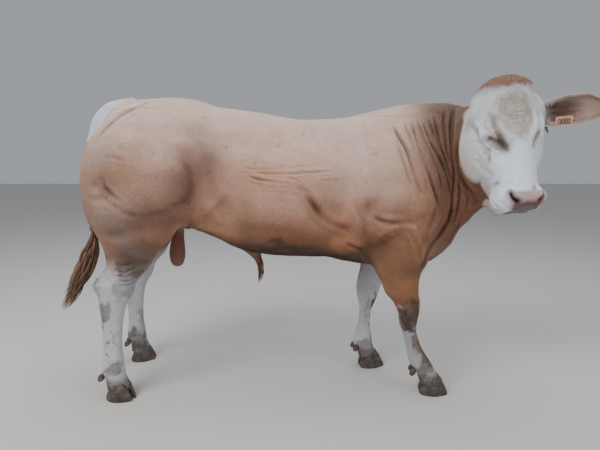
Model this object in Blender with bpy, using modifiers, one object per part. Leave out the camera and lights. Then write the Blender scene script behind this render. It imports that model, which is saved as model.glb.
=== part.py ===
"""Solids of a standing young beef bull, head turned to its right, life size."""
import math

import bmesh
import bpy
import numpy as np

# ------------------------------------------------------------------ the animal's shape
# Working frame (metres before SIZE is applied): x forward, y to the animal's left, z up from the
# coronets; the middle plane of the trunk is y = 0.
SIZE = 0.82          # working metres to real metres
SOLE = -0.045        # height of the soles
CENTRE = (0.0362, -0.0464)  # middle of the whole outline on the floor, working frame
EYE = np.array([0.0, -2.235, 1.05])   # the viewpoint that the outline was measured from
PITCH, FOCAL = math.radians(7.58), 451.0


def unit(a):
    a = np.asarray(a, float)
    return a / np.linalg.norm(a)


def smooth(a, b, x):
    t = np.clip((x - a) / (b - a), 0, 1)
    return t * t * (3 - 2 * t)


class Table:
    """Smooth, overshoot-free interpolation of rows sorted by their first number."""

    def __init__(self, rows):
        rows = np.array(rows, float)
        rows = rows[np.argsort(rows[:, 0])]
        self.x, self.y = rows[:, 0], rows[:, 1:]
        h = np.diff(self.x)[:, None]
        d = np.diff(self.y, axis=0) / h
        m = np.zeros_like(self.y)
        m[0], m[-1] = d[0], d[-1]
        if len(rows) > 2:
            w1, w2 = 2 * h[1:] + h[:-1], h[1:] + 2 * h[:-1]
            same = d[1:] * d[:-1] > 0
            with np.errstate(divide="ignore", invalid="ignore"):
                hm = (w1 + w2) / (w1 / d[:-1] + w2 / d[1:])
            m[1:-1] = np.where(same, hm, 0)
        self.m = m

    def __call__(self, x):
        x = np.clip(np.asarray(x, float), self.x[0], self.x[-1])
        i = np.clip(np.searchsorted(self.x, x) - 1, 0, len(self.x) - 2)
        h = self.x[i + 1] - self.x[i]
        t = ((x - self.x[i]) / h)[..., None]
        h = h[..., None]
        return (
            (2 * t**3 - 3 * t**2 + 1) * self.y[i]
            + (t**3 - 2 * t**2 + t) * h * self.m[i]
            + (-2 * t**3 + 3 * t**2) * self.y[i + 1]
            + (t**3 - t**2) * h * self.m[i + 1]
        )


def section_distance(du, dv, w, up, down, n, taper):
    """About how far a point in a section's plane lies outside its rounded outline."""
    h = np.where(dv > 0, up, down)
    wl = w * (1 + taper * np.clip(dv / h, -1, 1))
    r = ((np.abs(du) / wl) ** n + (np.abs(dv) / h) ** n) ** (1 / n)
    rad = np.hypot(du, dv)
    return np.where(r > 0.05, rad * (1 - 1 / np.maximum(r, 0.05)), -np.minimum(wl, h))


def ring_point(a, w, up, down, n, taper):
    c, s = math.cos(a), math.sin(a)
    h = up if s > 0 else down
    v = h * math.copysign(abs(s) ** (2 / n), s)
    return w * (1 + taper * v / h) * math.copysign(abs(c) ** (2 / n), c), v


def end_cap(d, out):
    return np.where(out > 0, np.where(d > 0, np.hypot(d, out), np.maximum(d, out)), d)


class Loft:
    """Sections along a straight axis. Rows: s, centre u, centre v, half width, up, down, exponent, taper."""

    def __init__(self, rows, origin=(0, 0, 0), axes=((1, 0, 0), (0, 1, 0), (0, 0, 1)), k=0.05):
        self.table = Table(rows)
        self.o, self.ax, self.k = np.array(origin, float), np.array(axes, float), k
        self.lo, self.hi = self.table.x[0], self.table.x[-1]

    def field(self, p):
        q = (p - self.o) @ self.ax.T
        s = np.clip(q[:, 0], self.lo, self.hi)
        cu, cv, w, up, down, n, tp = self.table(s).T
        d = section_distance(q[:, 1] - cu, q[:, 2] - cv, w, up, down, n, tp)
        return end_cap(d, np.abs(q[:, 0] - s))

    def rings(self, step, count):
        n = max(3, int((self.hi - self.lo) / step) + 1)
        verts = []
        for s in np.linspace(self.lo, self.hi, n):
            cu, cv, w, up, down, e, tp = self.table(s)
            for j in range(count):
                u, v = ring_point(2 * math.pi * j / count, w, up, down, e, tp)
                verts.append(self.o + s * self.ax[0] + (cu + u) * self.ax[1] + (cv + v) * self.ax[2])
        return verts, n


class Sweep:
    """Sections along a bent axis. Rows: x, y, z of the axis, half width, up, down, exponent, taper."""

    def __init__(self, rows, k=0.05, fine=40, side=None):
        rows = np.array(rows, float)
        t = np.concatenate([[0], np.cumsum(np.linalg.norm(np.diff(rows[:, :3], axis=0), axis=1))])
        self.table = Table(np.column_stack([t, rows]))
        self.s = np.linspace(0, t[-1], fine)
        self.p = self.table(self.s)[:, :3]
        self.k = k
        tan = np.gradient(self.p, axis=0)
        self.t = tan / np.linalg.norm(tan, axis=1)[:, None]
        if side is None:
            u = np.cross(np.array([0, 0, 1.0]), self.t)
        else:
            u = np.tile(np.array(side, float), (fine, 1))
            u -= (u * self.t).sum(1)[:, None] * self.t
        self.u = u / np.linalg.norm(u, axis=1)[:, None]
        self.v = np.cross(self.t, self.u)

    def field(self, p):
        best = np.full(len(p), 1e9)
        seg = np.zeros(len(p), int)
        f = np.zeros(len(p))
        for i in range(len(self.p) - 1):
            a, ab = self.p[i], self.p[i + 1] - self.p[i]
            g = np.clip((p - a) @ ab / (ab @ ab), 0, 1)
            d = np.linalg.norm(p - a - g[:, None] * ab, axis=1)
            m = d < best
            best[m], seg[m], f[m] = d[m], i, g[m]
        end = ((seg == 0) & (f <= 0)) | ((seg == len(self.p) - 2) & (f >= 1))
        s = self.s[seg] + (self.s[seg + 1] - self.s[seg]) * f
        f = f[:, None]
        c, u, v, t = (a[seg] * (1 - f) + a[seg + 1] * f for a in (self.p, self.u, self.v, self.t))
        w, up, down, n, tp = self.table(s)[:, 3:].T
        q = p - c
        d = section_distance((q * u).sum(1), (q * v).sum(1), w, up, down, n, tp)
        return end_cap(d, np.where(end, np.abs((q * t).sum(1)), 0))

    def rings(self, step, count):
        n = max(3, int(self.s[-1] / step) + 1)
        verts = []
        for s in np.linspace(0, self.s[-1], n):
            row = self.table(s)
            g = s / self.s[-1] * (len(self.s) - 1)
            i = min(int(g), len(self.s) - 2)
            f = g - i
            u, v = unit(self.u[i] * (1 - f) + self.u[i + 1] * f), unit(self.v[i] * (1 - f) + self.v[i + 1] * f)
            for j in range(count):
                a, b = ring_point(2 * math.pi * j / count, *row[3:])
                verts.append(row[:3] + a * u + b * v)
        return verts, n


class Blob:
    """An ellipsoid: centre, half sizes along its own axes (rows of axes)."""

    def __init__(self, centre, size, axes=((1, 0, 0), (0, 1, 0), (0, 0, 1)), k=0.05):
        self.c, self.r, self.ax, self.k = np.array(centre, float), np.array(size, float), np.array(axes, float), k

    def field(self, p):
        q = (p - self.c) @ self.ax.T
        k0 = np.linalg.norm(q / self.r, axis=1)
        k1 = np.linalg.norm(q / self.r**2, axis=1)
        return k0 * (k0 - 1) / np.maximum(k1, 1e-9)

    def rings(self, step, count):
        verts, n = [], 9
        for i in range(n):
            a = math.pi * (i + 0.35) / (n - 0.3)
            for j in range(count):
                b = 2 * math.pi * j / count
                q = self.r * np.array([math.sin(a) * math.cos(b), math.sin(a) * math.sin(b), math.cos(a)])
                verts.append(self.c + q @ self.ax)
        return verts, n


def blend(a, b, k):
    h = np.maximum(k - np.abs(a - b), 0) / k
    return np.minimum(a, b) - h * h * k / 4


# trunk: x, top, bottom, half width, exponent, taper
TRUNK = [
    (-0.985, 1.235, 1.08, 0.035, 2.0, 0.0),
    (-0.95, 1.285, 0.98, 0.075, 2.0, 0.0),
    (-0.90, 1.325, 0.90, 0.135, 2.1, 0.0),
    (-0.82, 1.357, 0.83, 0.205, 2.2, -0.05),
    (-0.70, 1.366, 0.79, 0.240, 2.3, -0.08),
    (-0.58, 1.371, 0.75, 0.246, 2.4, -0.05),
    (-0.48, 1.357, 0.720, 0.240, 2.4, -0.05),
    (-0.40, 1.331, 0.686, 0.236, 2.35, -0.08),
    (-0.29, 1.316, 0.634, 0.243, 2.3, -0.12),
    (-0.18, 1.300, 0.612, 0.255, 2.25, -0.16),
    (-0.08, 1.282, 0.602, 0.266, 2.2, -0.18),
    (0.02, 1.273, 0.600, 0.272, 2.2, -0.20),
    (0.12, 1.272, 0.600, 0.272, 2.2, -0.22),
    (0.22, 1.279, 0.580, 0.266, 2.2, -0.25),
    (0.32, 1.298, 0.560, 0.255, 2.15, -0.28),
    (0.43, 1.311, 0.555, 0.240, 2.1, -0.30),
    (0.53, 1.333, 0.553, 0.220, 2.1, -0.28),
    (0.62, 1.342, 0.565, 0.195, 2.1, -0.22),
    (0.70, 1.340, 0.605, 0.160, 2.0, -0.15),
    (0.75, 1.325, 0.650, 0.120, 2.0, -0.10),
]
# legs: z, outward y, centre x, half width, front, rear, exponent, taper
HIND = [
    (1.30, 0.085, -0.72, 0.075, 0.12, 0.14, 2.0, 0),
    (1.22, 0.125, -0.725, 0.105, 0.185, 0.19, 2.1, 0),
    (1.12, 0.160, -0.735, 0.135, 0.225, 0.235, 2.2, 0),
    (1.00, 0.168, -0.740, 0.150, 0.245, 0.255, 2.3, 0.05),
    (0.90, 0.168, -0.745, 0.148, 0.235, 0.245, 2.3, 0.05),
    (0.80, 0.163, -0.755, 0.135, 0.205, 0.220, 2.3, 0.05),
    (0.72, 0.172, -0.758, 0.108, 0.168, 0.175, 2.2, 0.05),
    (0.65, 0.188, -0.775, 0.074, 0.122, 0.130, 2.1, 0.15),
    (0.58, 0.200, -0.796, 0.056, 0.103, 0.105, 2.0, 0.25),
    (0.53, 0.205, -0.838, 0.052, 0.100, 0.104, 2.0, 0.30),
    (0.50, 0.208, -0.856, 0.051, 0.100, 0.104, 2.0, 0.30),
    (0.45, 0.210, -0.860, 0.046, 0.086, 0.078, 2.1, 0.25),
    (0.40, 0.210, -0.869, 0.038, 0.064, 0.064, 2.2, 0.15),
    (0.30, 0.212, -0.876, 0.031, 0.049, 0.049, 2.2, 0.10),
    (0.20, 0.214, -0.877, 0.031, 0.045, 0.046, 2.2, 0.10),
    (0.14, 0.215, -0.876, 0.037, 0.049, 0.052, 2.2, 0.0),
    (0.09, 0.216, -0.874, 0.044, 0.051, 0.060, 2.2, 0.0),
    (0.05, 0.217, -0.866, 0.043, 0.052, 0.050, 2.2, 0.0),
    (0.012, 0.218, -0.858, 0.047, 0.058, 0.050, 2.2, 0.0),
]
FORE_UP = [
    (1.27, 0.055, 0.45, 0.055, 0.08, 0.10, 2.0, 0),
    (1.20, 0.090, 0.43, 0.090, 0.13, 0.15, 2.0, 0),
    (1.10, 0.120, 0.425, 0.120, 0.165, 0.175, 2.1, 0),
    (1.00, 0.132, 0.435, 0.135, 0.185, 0.190, 2.2, 0),
    (0.90, 0.138, 0.455, 0.142, 0.190, 0.190, 2.2, 0),
    (0.80, 0.143, 0.470, 0.140, 0.170, 0.170, 2.2, 0),
    (0.72, 0.150, 0.475, 0.122, 0.150, 0.145, 2.2, 0),
    (0.65, 0.153, 0.473, 0.098, 0.137, 0.126, 2.1, 0),
    (0.60, 0.155, 0.471, 0.080, 0.131, 0.122, 2.1, 0),
]
FORE_NEAR = FORE_UP + [
    (0.55, 0.155, 0.466, 0.068, 0.111, 0.111, 2.1, 0),
    (0.50, 0.155, 0.474, 0.061, 0.093, 0.094, 2.1, 0),
    (0.45, 0.155, 0.485, 0.055, 0.082, 0.084, 2.1, 0),
    (0.40, 0.155, 0.508, 0.051, 0.067, 0.067, 2.2, 0),
    (0.35, 0.155, 0.516, 0.050, 0.054, 0.053, 2.3, 0),
    (0.30, 0.155, 0.5165, 0.042, 0.045, 0.045, 2.3, 0),
    (0.25, 0.155, 0.5255, 0.034, 0.038, 0.038, 2.2, 0),
    (0.20, 0.155, 0.5415, 0.032, 0.040, 0.040, 2.2, 0),
    (0.15, 0.156, 0.5600, 0.036, 0.048, 0.048, 2.2, 0),
    (0.10, 0.157, 0.5830, 0.043, 0.056, 0.057, 2.2, 0),
    (0.06, 0.158, 0.6080, 0.043, 0.052, 0.050, 2.2, 0),
    (0.012, 0.159, 0.6300, 0.048, 0.058, 0.052, 2.2, 0),
]
FORE_FAR = [(z, y, x - 0.03 * float(smooth(0.9, 0.6, z)), w, f, r, n, t) for z, y, x, w, f, r, n, t in FORE_UP] + [
    (0.55, 0.150, 0.428, 0.068, 0.105, 0.105, 2.1, 0),
    (0.50, 0.148, 0.412, 0.061, 0.093, 0.094, 2.1, 0),
    (0.45, 0.146, 0.388, 0.055, 0.080, 0.080, 2.1, 0),
    (0.40, 0.144, 0.370, 0.051, 0.069, 0.069, 2.2, 0),
    (0.36, 0.143, 0.365, 0.050, 0.062, 0.062, 2.3, 0),
    (0.32, 0.142, 0.363, 0.042, 0.050, 0.052, 2.3, 0),
    (0.267, 0.141, 0.355, 0.034, 0.037, 0.037, 2.2, 0),
    (0.21, 0.140, 0.350, 0.032, 0.035, 0.036, 2.2, 0),
    (0.15, 0.140, 0.3455, 0.036, 0.044, 0.044, 2.2, 0),
    (0.09, 0.140, 0.344, 0.043, 0.052, 0.054, 2.2, 0),
    (0.05, 0.140, 0.360, 0.043, 0.050, 0.050, 2.2, 0),
    (0.012, 0.140, 0.376, 0.048, 0.057, 0.052, 2.2, 0),
]
NECK = [  # x, y, z, half width, up, down, exponent, taper
    (0.36, 0.0, 0.985, 0.235, 0.29, 0.37, 2.1, -0.15),
    (0.53, 0.0, 1.02, 0.212, 0.305, 0.38, 2.1, -0.12),
    (0.64, -0.005, 1.045, 0.182, 0.295, 0.355, 2.1, -0.08),
    (0.735, -0.035, 1.075, 0.152, 0.265, 0.305, 2.1, -0.05),
    (0.81, -0.10, 1.105, 0.133, 0.235, 0.245, 2.1, -0.05),
    (0.85, -0.18, 1.14, 0.122, 0.205, 0.195, 2.1, 0.0),
    (0.865, -0.26, 1.18, 0.108, 0.165, 0.155, 2.1, 0.0),
]
# head frame: l from the poll down the face, s to the head's left, d out of the face
POLL = np.array([0.877, -0.305, 1.383])
HEAD_YAW, HEAD_TILT, HEAD_ROLL = 87.5, 14.0, 4.7


def head_axes():
    y, t, r = (math.radians(a) for a in (HEAD_YAW, HEAD_TILT, HEAD_ROLL))
    f, up = np.array([math.cos(y), -math.sin(y), 0.0]), np.array([0, 0, 1.0])
    side = np.cross(up, f)
    s, z = side * math.cos(r) + up * math.sin(r), up * math.cos(r) - side * math.sin(r)
    return np.array([math.sin(t) * f - math.cos(t) * z, s, math.cos(t) * f + math.sin(t) * z])


HEAD_AXES = head_axes()


def on_head(l, s, d):
    return POLL + np.array([l, s, d]) @ HEAD_AXES


HEAD = [  # l, half width, dorsal height, ventral height, exponent, taper
    (-0.035, 0.076, 0.000, 0.150, 2.0, -0.05),
    (-0.012, 0.106, 0.014, 0.185, 2.1, -0.05),
    (0.025, 0.127, 0.024, 0.225, 2.2, -0.05),
    (0.080, 0.131, 0.030, 0.262, 2.3, -0.05),
    (0.140, 0.134, 0.030, 0.285, 2.3, -0.08),
    (0.190, 0.135, 0.026, 0.297, 2.2, -0.14),
    (0.240, 0.131, 0.020, 0.300, 2.2, -0.16),
    (0.300, 0.119, 0.014, 0.280, 2.2, -0.20),
    (0.360, 0.105, 0.010, 0.240, 2.2, -0.16),
    (0.415, 0.092, 0.008, 0.200, 2.2, -0.12),
    (0.460, 0.094, 0.006, 0.192, 2.3, 0.0),
    (0.497, 0.092, -0.004, 0.182, 2.4, 0.0),
    (0.521, 0.076, -0.022, 0.160, 2.3, 0.0),
]
EYE_AT, EYE_R = (0.203, 0.118, -0.036), 0.0235
EAR_ROOT = (0.088, 0.127, -0.085)


def centred(top, bottom):
    return (top + bottom) / 2, (top - bottom) / 2


def head_blob(l, s, d, sl, ss, sd, k, turn=0.0):
    ax = HEAD_AXES
    if turn:
        c, n = math.cos(math.radians(turn)), math.sin(math.radians(turn))
        ax = np.array([c * ax[0] + n * ax[2], ax[1], -n * ax[0] + c * ax[2]])
    return Blob(on_head(l, s, d), (sl, ss, sd), ax, k)


def flesh_parts():
    up = ((0, 0, 1), (0, 1, 0), (1, 0, 0))
    rows = []
    for x, top, bottom, w, n, t in TRUNK:
        c, h = centred(top, bottom)
        rows.append((x, 0, c, w, h, h, n, t))
    out = [("trunk", Loft(rows, k=0.06))]
    for side in (-1, 1):
        back = 0.0 if side < 0 else -0.045
        out.append(("hind", Loft([(z, side * y, x + back * float(smooth(1.3, 0.9, z)), w, f, r, n, t)
                                  for z, y, x, w, f, r, n, t in HIND], axes=up, k=0.05)))
        table = FORE_NEAR if side < 0 else FORE_FAR
        out.append(("fore", Loft([(z, side * y, x, w, f, r, n, t) for z, y, x, w, f, r, n, t in table], axes=up, k=0.06)))
    out.append(("neck", Sweep(NECK, k=0.06)))
    rows = []
    for l, w, top, bottom, n, t in HEAD:
        c, h = centred(top, -bottom)
        rows.append((l, 0, c, w, h, h, n, t))
    out.append(("head", Loft(rows, POLL, HEAD_AXES, k=0.045)))
    for s in (-1, 1):
        out.append(("brow", head_blob(0.188, s * 0.093, -0.030, 0.052, 0.036, 0.040, 0.05)))
        out.append(("cheek", head_blob(0.225, s * 0.106, -0.180, 0.135, 0.056, 0.125, 0.06, 12)))
        out.append(("nostril", head_blob(0.474, s * 0.052, -0.024, 0.036, 0.036, 0.032, 0.02)))
        out.append(("lip", head_blob(0.464, s * 0.052, -0.100, 0.052, 0.050, 0.050, 0.03)))
    out.append(("ear root", head_blob(0.094, 0.120, -0.074, 0.056, 0.042, 0.046, 0.06)))
    out.append(("ear root", head_blob(0.084, -0.110, -0.085, 0.038, 0.030, 0.036, 0.04)))
    out.append(("poll", head_blob(-0.000, 0, -0.040, 0.034, 0.098, 0.055, 0.04)))
    out.append(("chin", head_blob(0.474, 0, -0.226, 0.060, 0.064, 0.054, 0.05)))
    out.append(("chin", head_blob(0.400, 0, -0.205, 0.085, 0.056, 0.050, 0.06)))
    out.append(("chin", head_blob(0.335, 0, -0.215, 0.080, 0.060, 0.050, 0.06)))
    out.append(("tail head", Sweep([
        (-0.80, 0, 1.325, 0.050, 0.045, 0.045, 2, 0), (-0.90, 0, 1.315, 0.048, 0.042, 0.042, 2, 0),
        (-0.975, 0, 1.255, 0.042, 0.036, 0.036, 2, 0), (-1.005, 0, 1.16, 0.036, 0.032, 0.032, 2, 0)], k=0.04, side=(0, 1, 0))))
    return out


def part_box(q):
    if not hasattr(q, "box"):
        v = np.array(q.rings(0.02, 24)[0])
        q.box = v.min(0) - 0.03, v.max(0) + 0.03
    return q.box


def part_field(q, p):
    """A part's field; far from its box the distance to the box is enough."""
    lo, hi = part_box(q)
    g = np.linalg.norm(np.maximum(np.maximum(lo - p, p - hi), 0), axis=1) + 0.03
    near = g < 0.05 + q.k
    if near.any():
        g[near] = q.field(p[near])
    return g


def field(parts, p):
    f = None
    for _, q in parts:
        g = part_field(q, p)
        f = g if f is None else blend(f, g, q.k)
    return f


def gradient(parts, p, e=0.002):
    g = np.empty_like(p)
    for i in range(3):
        d = np.zeros(3)
        d[i] = e
        g[:, i] = field(parts, p + d) - field(parts, p - d)
    return g / (2 * e)


def project(parts, p, steps=3, level=0.0):
    """Move points onto the surface where the field has the given level."""
    for _ in range(steps):
        f, g = field(parts, p) - level, gradient(parts, p)
        step = -(f / np.maximum((g * g).sum(1), 0.05))[:, None] * g
        ln = np.linalg.norm(step, axis=1)
        p = p + step * np.minimum(1, 0.02 / np.maximum(ln, 1e-9))[:, None]
    return p


def ray_hits(parts, pixels):
    """Where rays from the viewpoint through points of the 600 x 450 photograph meet the flesh."""
    px = np.array(pixels, float)
    ahead, up = np.array([0, math.cos(PITCH), -math.sin(PITCH)]), np.array([0, math.sin(PITCH), math.cos(PITCH)])
    d = ahead + ((px[:, :1] - 300) / FOCAL) * np.array([1, 0, 0]) - ((px[:, 1:] - 225) / FOCAL) * up
    d /= np.linalg.norm(d, axis=1)[:, None]
    t = np.full(len(d), 1.2)
    for _ in range(60):
        t += np.clip(field(parts, EYE + t[:, None] * d), -0.05, 0.08) * 0.8
    return EYE + t[:, None] * d


# feet: name, side, x and y of the foot's middle, heading off the body's axis (outward positive)
FEET = [
    ("hind_right", -1, -0.850, 0.219, 14.0, 1.0),
    ("hind_left", 1, -0.895, 0.219, 10.0, 1.0),
    ("fore_right", -1, 0.640, 0.160, 8.0, 1.04),
    ("fore_left", 1, 0.386, 0.141, 8.0, 1.04),
]
CLAW = [  # height share, back, front, outer half width, inner half width; half-length pattern
    (0.00, -0.058, 0.070, 1.00),
    (0.12, -0.060, 0.069, 1.03),
    (0.45, -0.058, 0.057, 1.00),
    (0.78, -0.050, 0.044, 0.92),
    (1.00, -0.034, 0.030, 0.74),
]


DEWCLAWS = {  # x and height of each foot's dewclaws
    "hind_right": (-0.874, 0.062), "hind_left": (-0.919, 0.062), "fore_right": (0.598, 0.066), "fore_left": (0.352, 0.066),
}


def foot_axes(side, turn):
    t = math.radians(turn)
    return np.array([[math.cos(t), side * math.sin(t), 0], [-math.sin(t), side * math.cos(t), 0], [0, 0, 1.0]])


def claw_points(side, x, y, turn, size, outer, levels, count):
    """Rings of one claw: flat sole, rounded outer wall, flat wall toward the cleft, low heel."""
    ax, table, verts = foot_axes(side, turn), Table(CLAW), []
    for h in levels:
        back, front, wide = table(h)
        for j in range(count):
            a = 2 * math.pi * j / count
            c, s = math.cos(a), math.sin(a)
            u = (front if c > 0 else -back) * math.copysign(abs(c) ** 0.85, c)
            w = (0.040 if s > 0 else 0.0085) * wide * math.copysign(abs(s) ** 0.8, s)
            toe = smooth(0.0, 0.07, u)
            w = w * (1 - 0.35 * float(toe)) if s > 0 else w * (1 - 0.25 * float(toe))
            z = h * (0.082 - 0.034 * float(smooth(0.02, -0.055, u)))
            q = np.array([u, outer * (0.0125 + w), z]) * size
            verts.append(np.array([x, side * y, SOLE]) + q @ ax)
    return verts


def dewclaw_points(side, x, y, turn, outer, z, rings, count):
    ax = foot_axes(side, turn)
    c = np.array([x, side * y, z]) + np.array([-0.052, outer * 0.026, 0]) @ ax
    tip = unit(np.array([-0.55, 0.25 * outer, -0.8]) @ ax)
    a = unit(np.cross(tip, [0, 1, 0]))
    b, verts = np.cross(tip, a), []
    table = Table([(-0.014, 0.011), (0.0, 0.015), (0.014, 0.012), (0.022, 0.006)])
    for t in np.linspace(-0.014, 0.022, rings):
        r = float(table(t)[0])
        for j in range(count):
            g = 2 * math.pi * j / count
            verts.append(c + tip * t + r * (math.cos(g) * a + math.sin(g) * b))
    return verts


EAR_LENGTH, EAR_WIDTH = 0.300, 0.134
EAR_SHAPE = Table([  # share of the length, upper and lower half width as shares of half the width
    (0.00, 0.30, 0.30), (0.06, 0.44, 0.52), (0.14, 0.58, 0.82), (0.30, 0.78, 0.98), (0.48, 0.92, 0.96),
    (0.66, 0.90, 0.84), (0.82, 0.72, 0.66), (0.93, 0.46, 0.42), (1.00, 0.09, 0.09)])


def ear_surface(root, along, opening, thick, nu=9, nv=6, upper=1, wide=1.0):
    """A cupped leaf: rolled into a funnel at its root, flat and rounded at its tip."""
    e = unit(along)
    n = unit(np.array(opening, float) - np.dot(opening, e) * e)
    s = np.cross(e, n) * upper
    front, back = [], []
    for i in range(nu + 1):
        u = i / nu
        high, low = EAR_SHAPE(u) * EAR_WIDTH / 2 * wide
        arc = math.radians(104 - 66 * u**0.6)
        c = np.array(root) + e * EAR_LENGTH * u + n * (0.014 * math.sin(math.pi * u)) - s * 0.010 * u * u
        th = thick * (1.15 - 0.65 * u)
        for j in range(nv + 1):
            v = 2 * j / nv - 1
            half = high if v > 0 else low
            r = half / math.sin(min(arc, 1.5)) if arc < 1.5 else half
            g = arc * v
            t = th * (1 - 0.55 * v * v)
            for ring, rr in ((front, r - t / 2), (back, r + t / 2)):
                rr = max(rr, 0.001)
                ring.append(c + s * rr * math.sin(g) + n * 0.8 * (r - rr * math.cos(g)))
    return np.array(front), np.array(back)


LEFT_EAR = dict(root=on_head(0.101, 0.118, -0.082), along=(0.93, -0.10, 0.082), opening=(0.0, -1.0, -0.10), upper=-1)
RIGHT_EAR = dict(root=on_head(0.056, -0.076, -0.134), along=(0.58, 0.76, 0.22), opening=(-0.90, 0.45, -0.15), upper=-1, wide=0.85)


def ear_frame(pose):
    """Along the ear, out of its opening, and up."""
    e = unit(pose["along"])
    n = unit(np.array(pose["opening"], float) - np.dot(pose["opening"], e) * e)
    up = np.cross(n, e)
    return e, n, up if up[2] > 0 else -up


TAG_AT = tuple(np.array(LEFT_EAR["root"]) + np.array([0.1125, 0.0440, -0.0475]) @ np.array(ear_frame(LEFT_EAR)))
TAG_HALF = (0.0350, 0.0205)


TAIL = [  # x, y, z, half width, up, down, exponent, taper
    (-1.005, 0, 1.165, 0.033, 0.030, 0.030, 2, 0),
    (-1.020, 0, 1.06, 0.028, 0.024, 0.024, 2, 0),
    (-1.030, 0, 0.94, 0.024, 0.021, 0.021, 2, 0),
    (-1.030, 0, 0.82, 0.022, 0.020, 0.020, 2, 0),
    (-1.030, 0, 0.73, 0.024, 0.024, 0.024, 2, 0),
]
SWITCH = [
    (-1.030, 0, 0.73, 0.024, 0.024, 0.024, 2, 0),
    (-1.034, 0, 0.677, 0.026, 0.030, 0.030, 2, 0),
    (-1.066, 0, 0.574, 0.034, 0.043, 0.043, 2, 0),
    (-1.104, 0, 0.512, 0.036, 0.045, 0.045, 2, 0),
    (-1.134, 0, 0.460, 0.032, 0.038, 0.038, 2, 0),
    (-1.158, 0, 0.403, 0.026, 0.031, 0.031, 2, 0),
    (-1.198, 0, 0.339, 0.018, 0.022, 0.022, 2, 0),
    (-1.222, 0, 0.306, 0.007, 0.008, 0.008, 2, 0),
]
SCROTUM = [
    (-0.600, 0, 0.775, 0.028, 0.030, 0.030, 2, 0), (-0.608, 0, 0.715, 0.030, 0.031, 0.031, 2, 0),
    (-0.614, 0, 0.660, 0.041, 0.038, 0.038, 2, 0), (-0.617, 0, 0.605, 0.047, 0.043, 0.043, 2, 0),
    (-0.618, 0, 0.568, 0.040, 0.037, 0.037, 2, 0), (-0.618, 0, 0.548, 0.025, 0.024, 0.024, 2, 0),
    (-0.618, 0, 0.541, 0.009, 0.009, 0.009, 2, 0),
]
SHEATH = [
    (-0.290, 0, 0.700, 0.038, 0.030, 0.038, 2, 0), (-0.250, 0, 0.640, 0.034, 0.034, 0.034, 2, 0),
    (-0.216, 0, 0.592, 0.023, 0.025, 0.025, 2, 0), (-0.201, 0, 0.550, 0.014, 0.016, 0.016, 2, 0),
    (-0.198, 0, 0.510, 0.010, 0.012, 0.012, 2, 0), (-0.206, 0, 0.474, 0.007, 0.009, 0.009, 2, 0),
    (-0.216, 0, 0.446, 0.003, 0.003, 0.003, 2, 0),
]


def rings_mesh(verts, rings, count):
    faces = []
    for i in range(rings - 1):
        for j in range(count):
            a, b = i * count + j, i * count + (j + 1) % count
            faces.append((a, b, b + count, a + count))
    faces.append(tuple(range(count))[::-1])
    faces.append(tuple(range((rings - 1) * count, rings * count)))
    return faces


def seed_mesh(parts, step=0.02, count=32):
    verts, faces = [], []
    for _, q in parts:
        v, n = q.rings(step, count)
        o = len(verts)
        verts += [tuple(x) for x in v]
        faces += [tuple(i + o for i in f) for f in rings_mesh(v, n, count)]
    me = bpy.data.meshes.new("seed")
    me.from_pydata(verts, [], faces)
    return me


def relief(p, n):
    """Bulges and hollows of the muscles, as a height along the surface's own direction."""
    h = np.zeros(len(p))
    for c, r, amount in BULGES:
        for side in (-1, 1):
            q = (p - np.array(c) * [1, side, 1]) / r
            h += amount * np.exp(-(q * q).sum(1))
    return h


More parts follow.
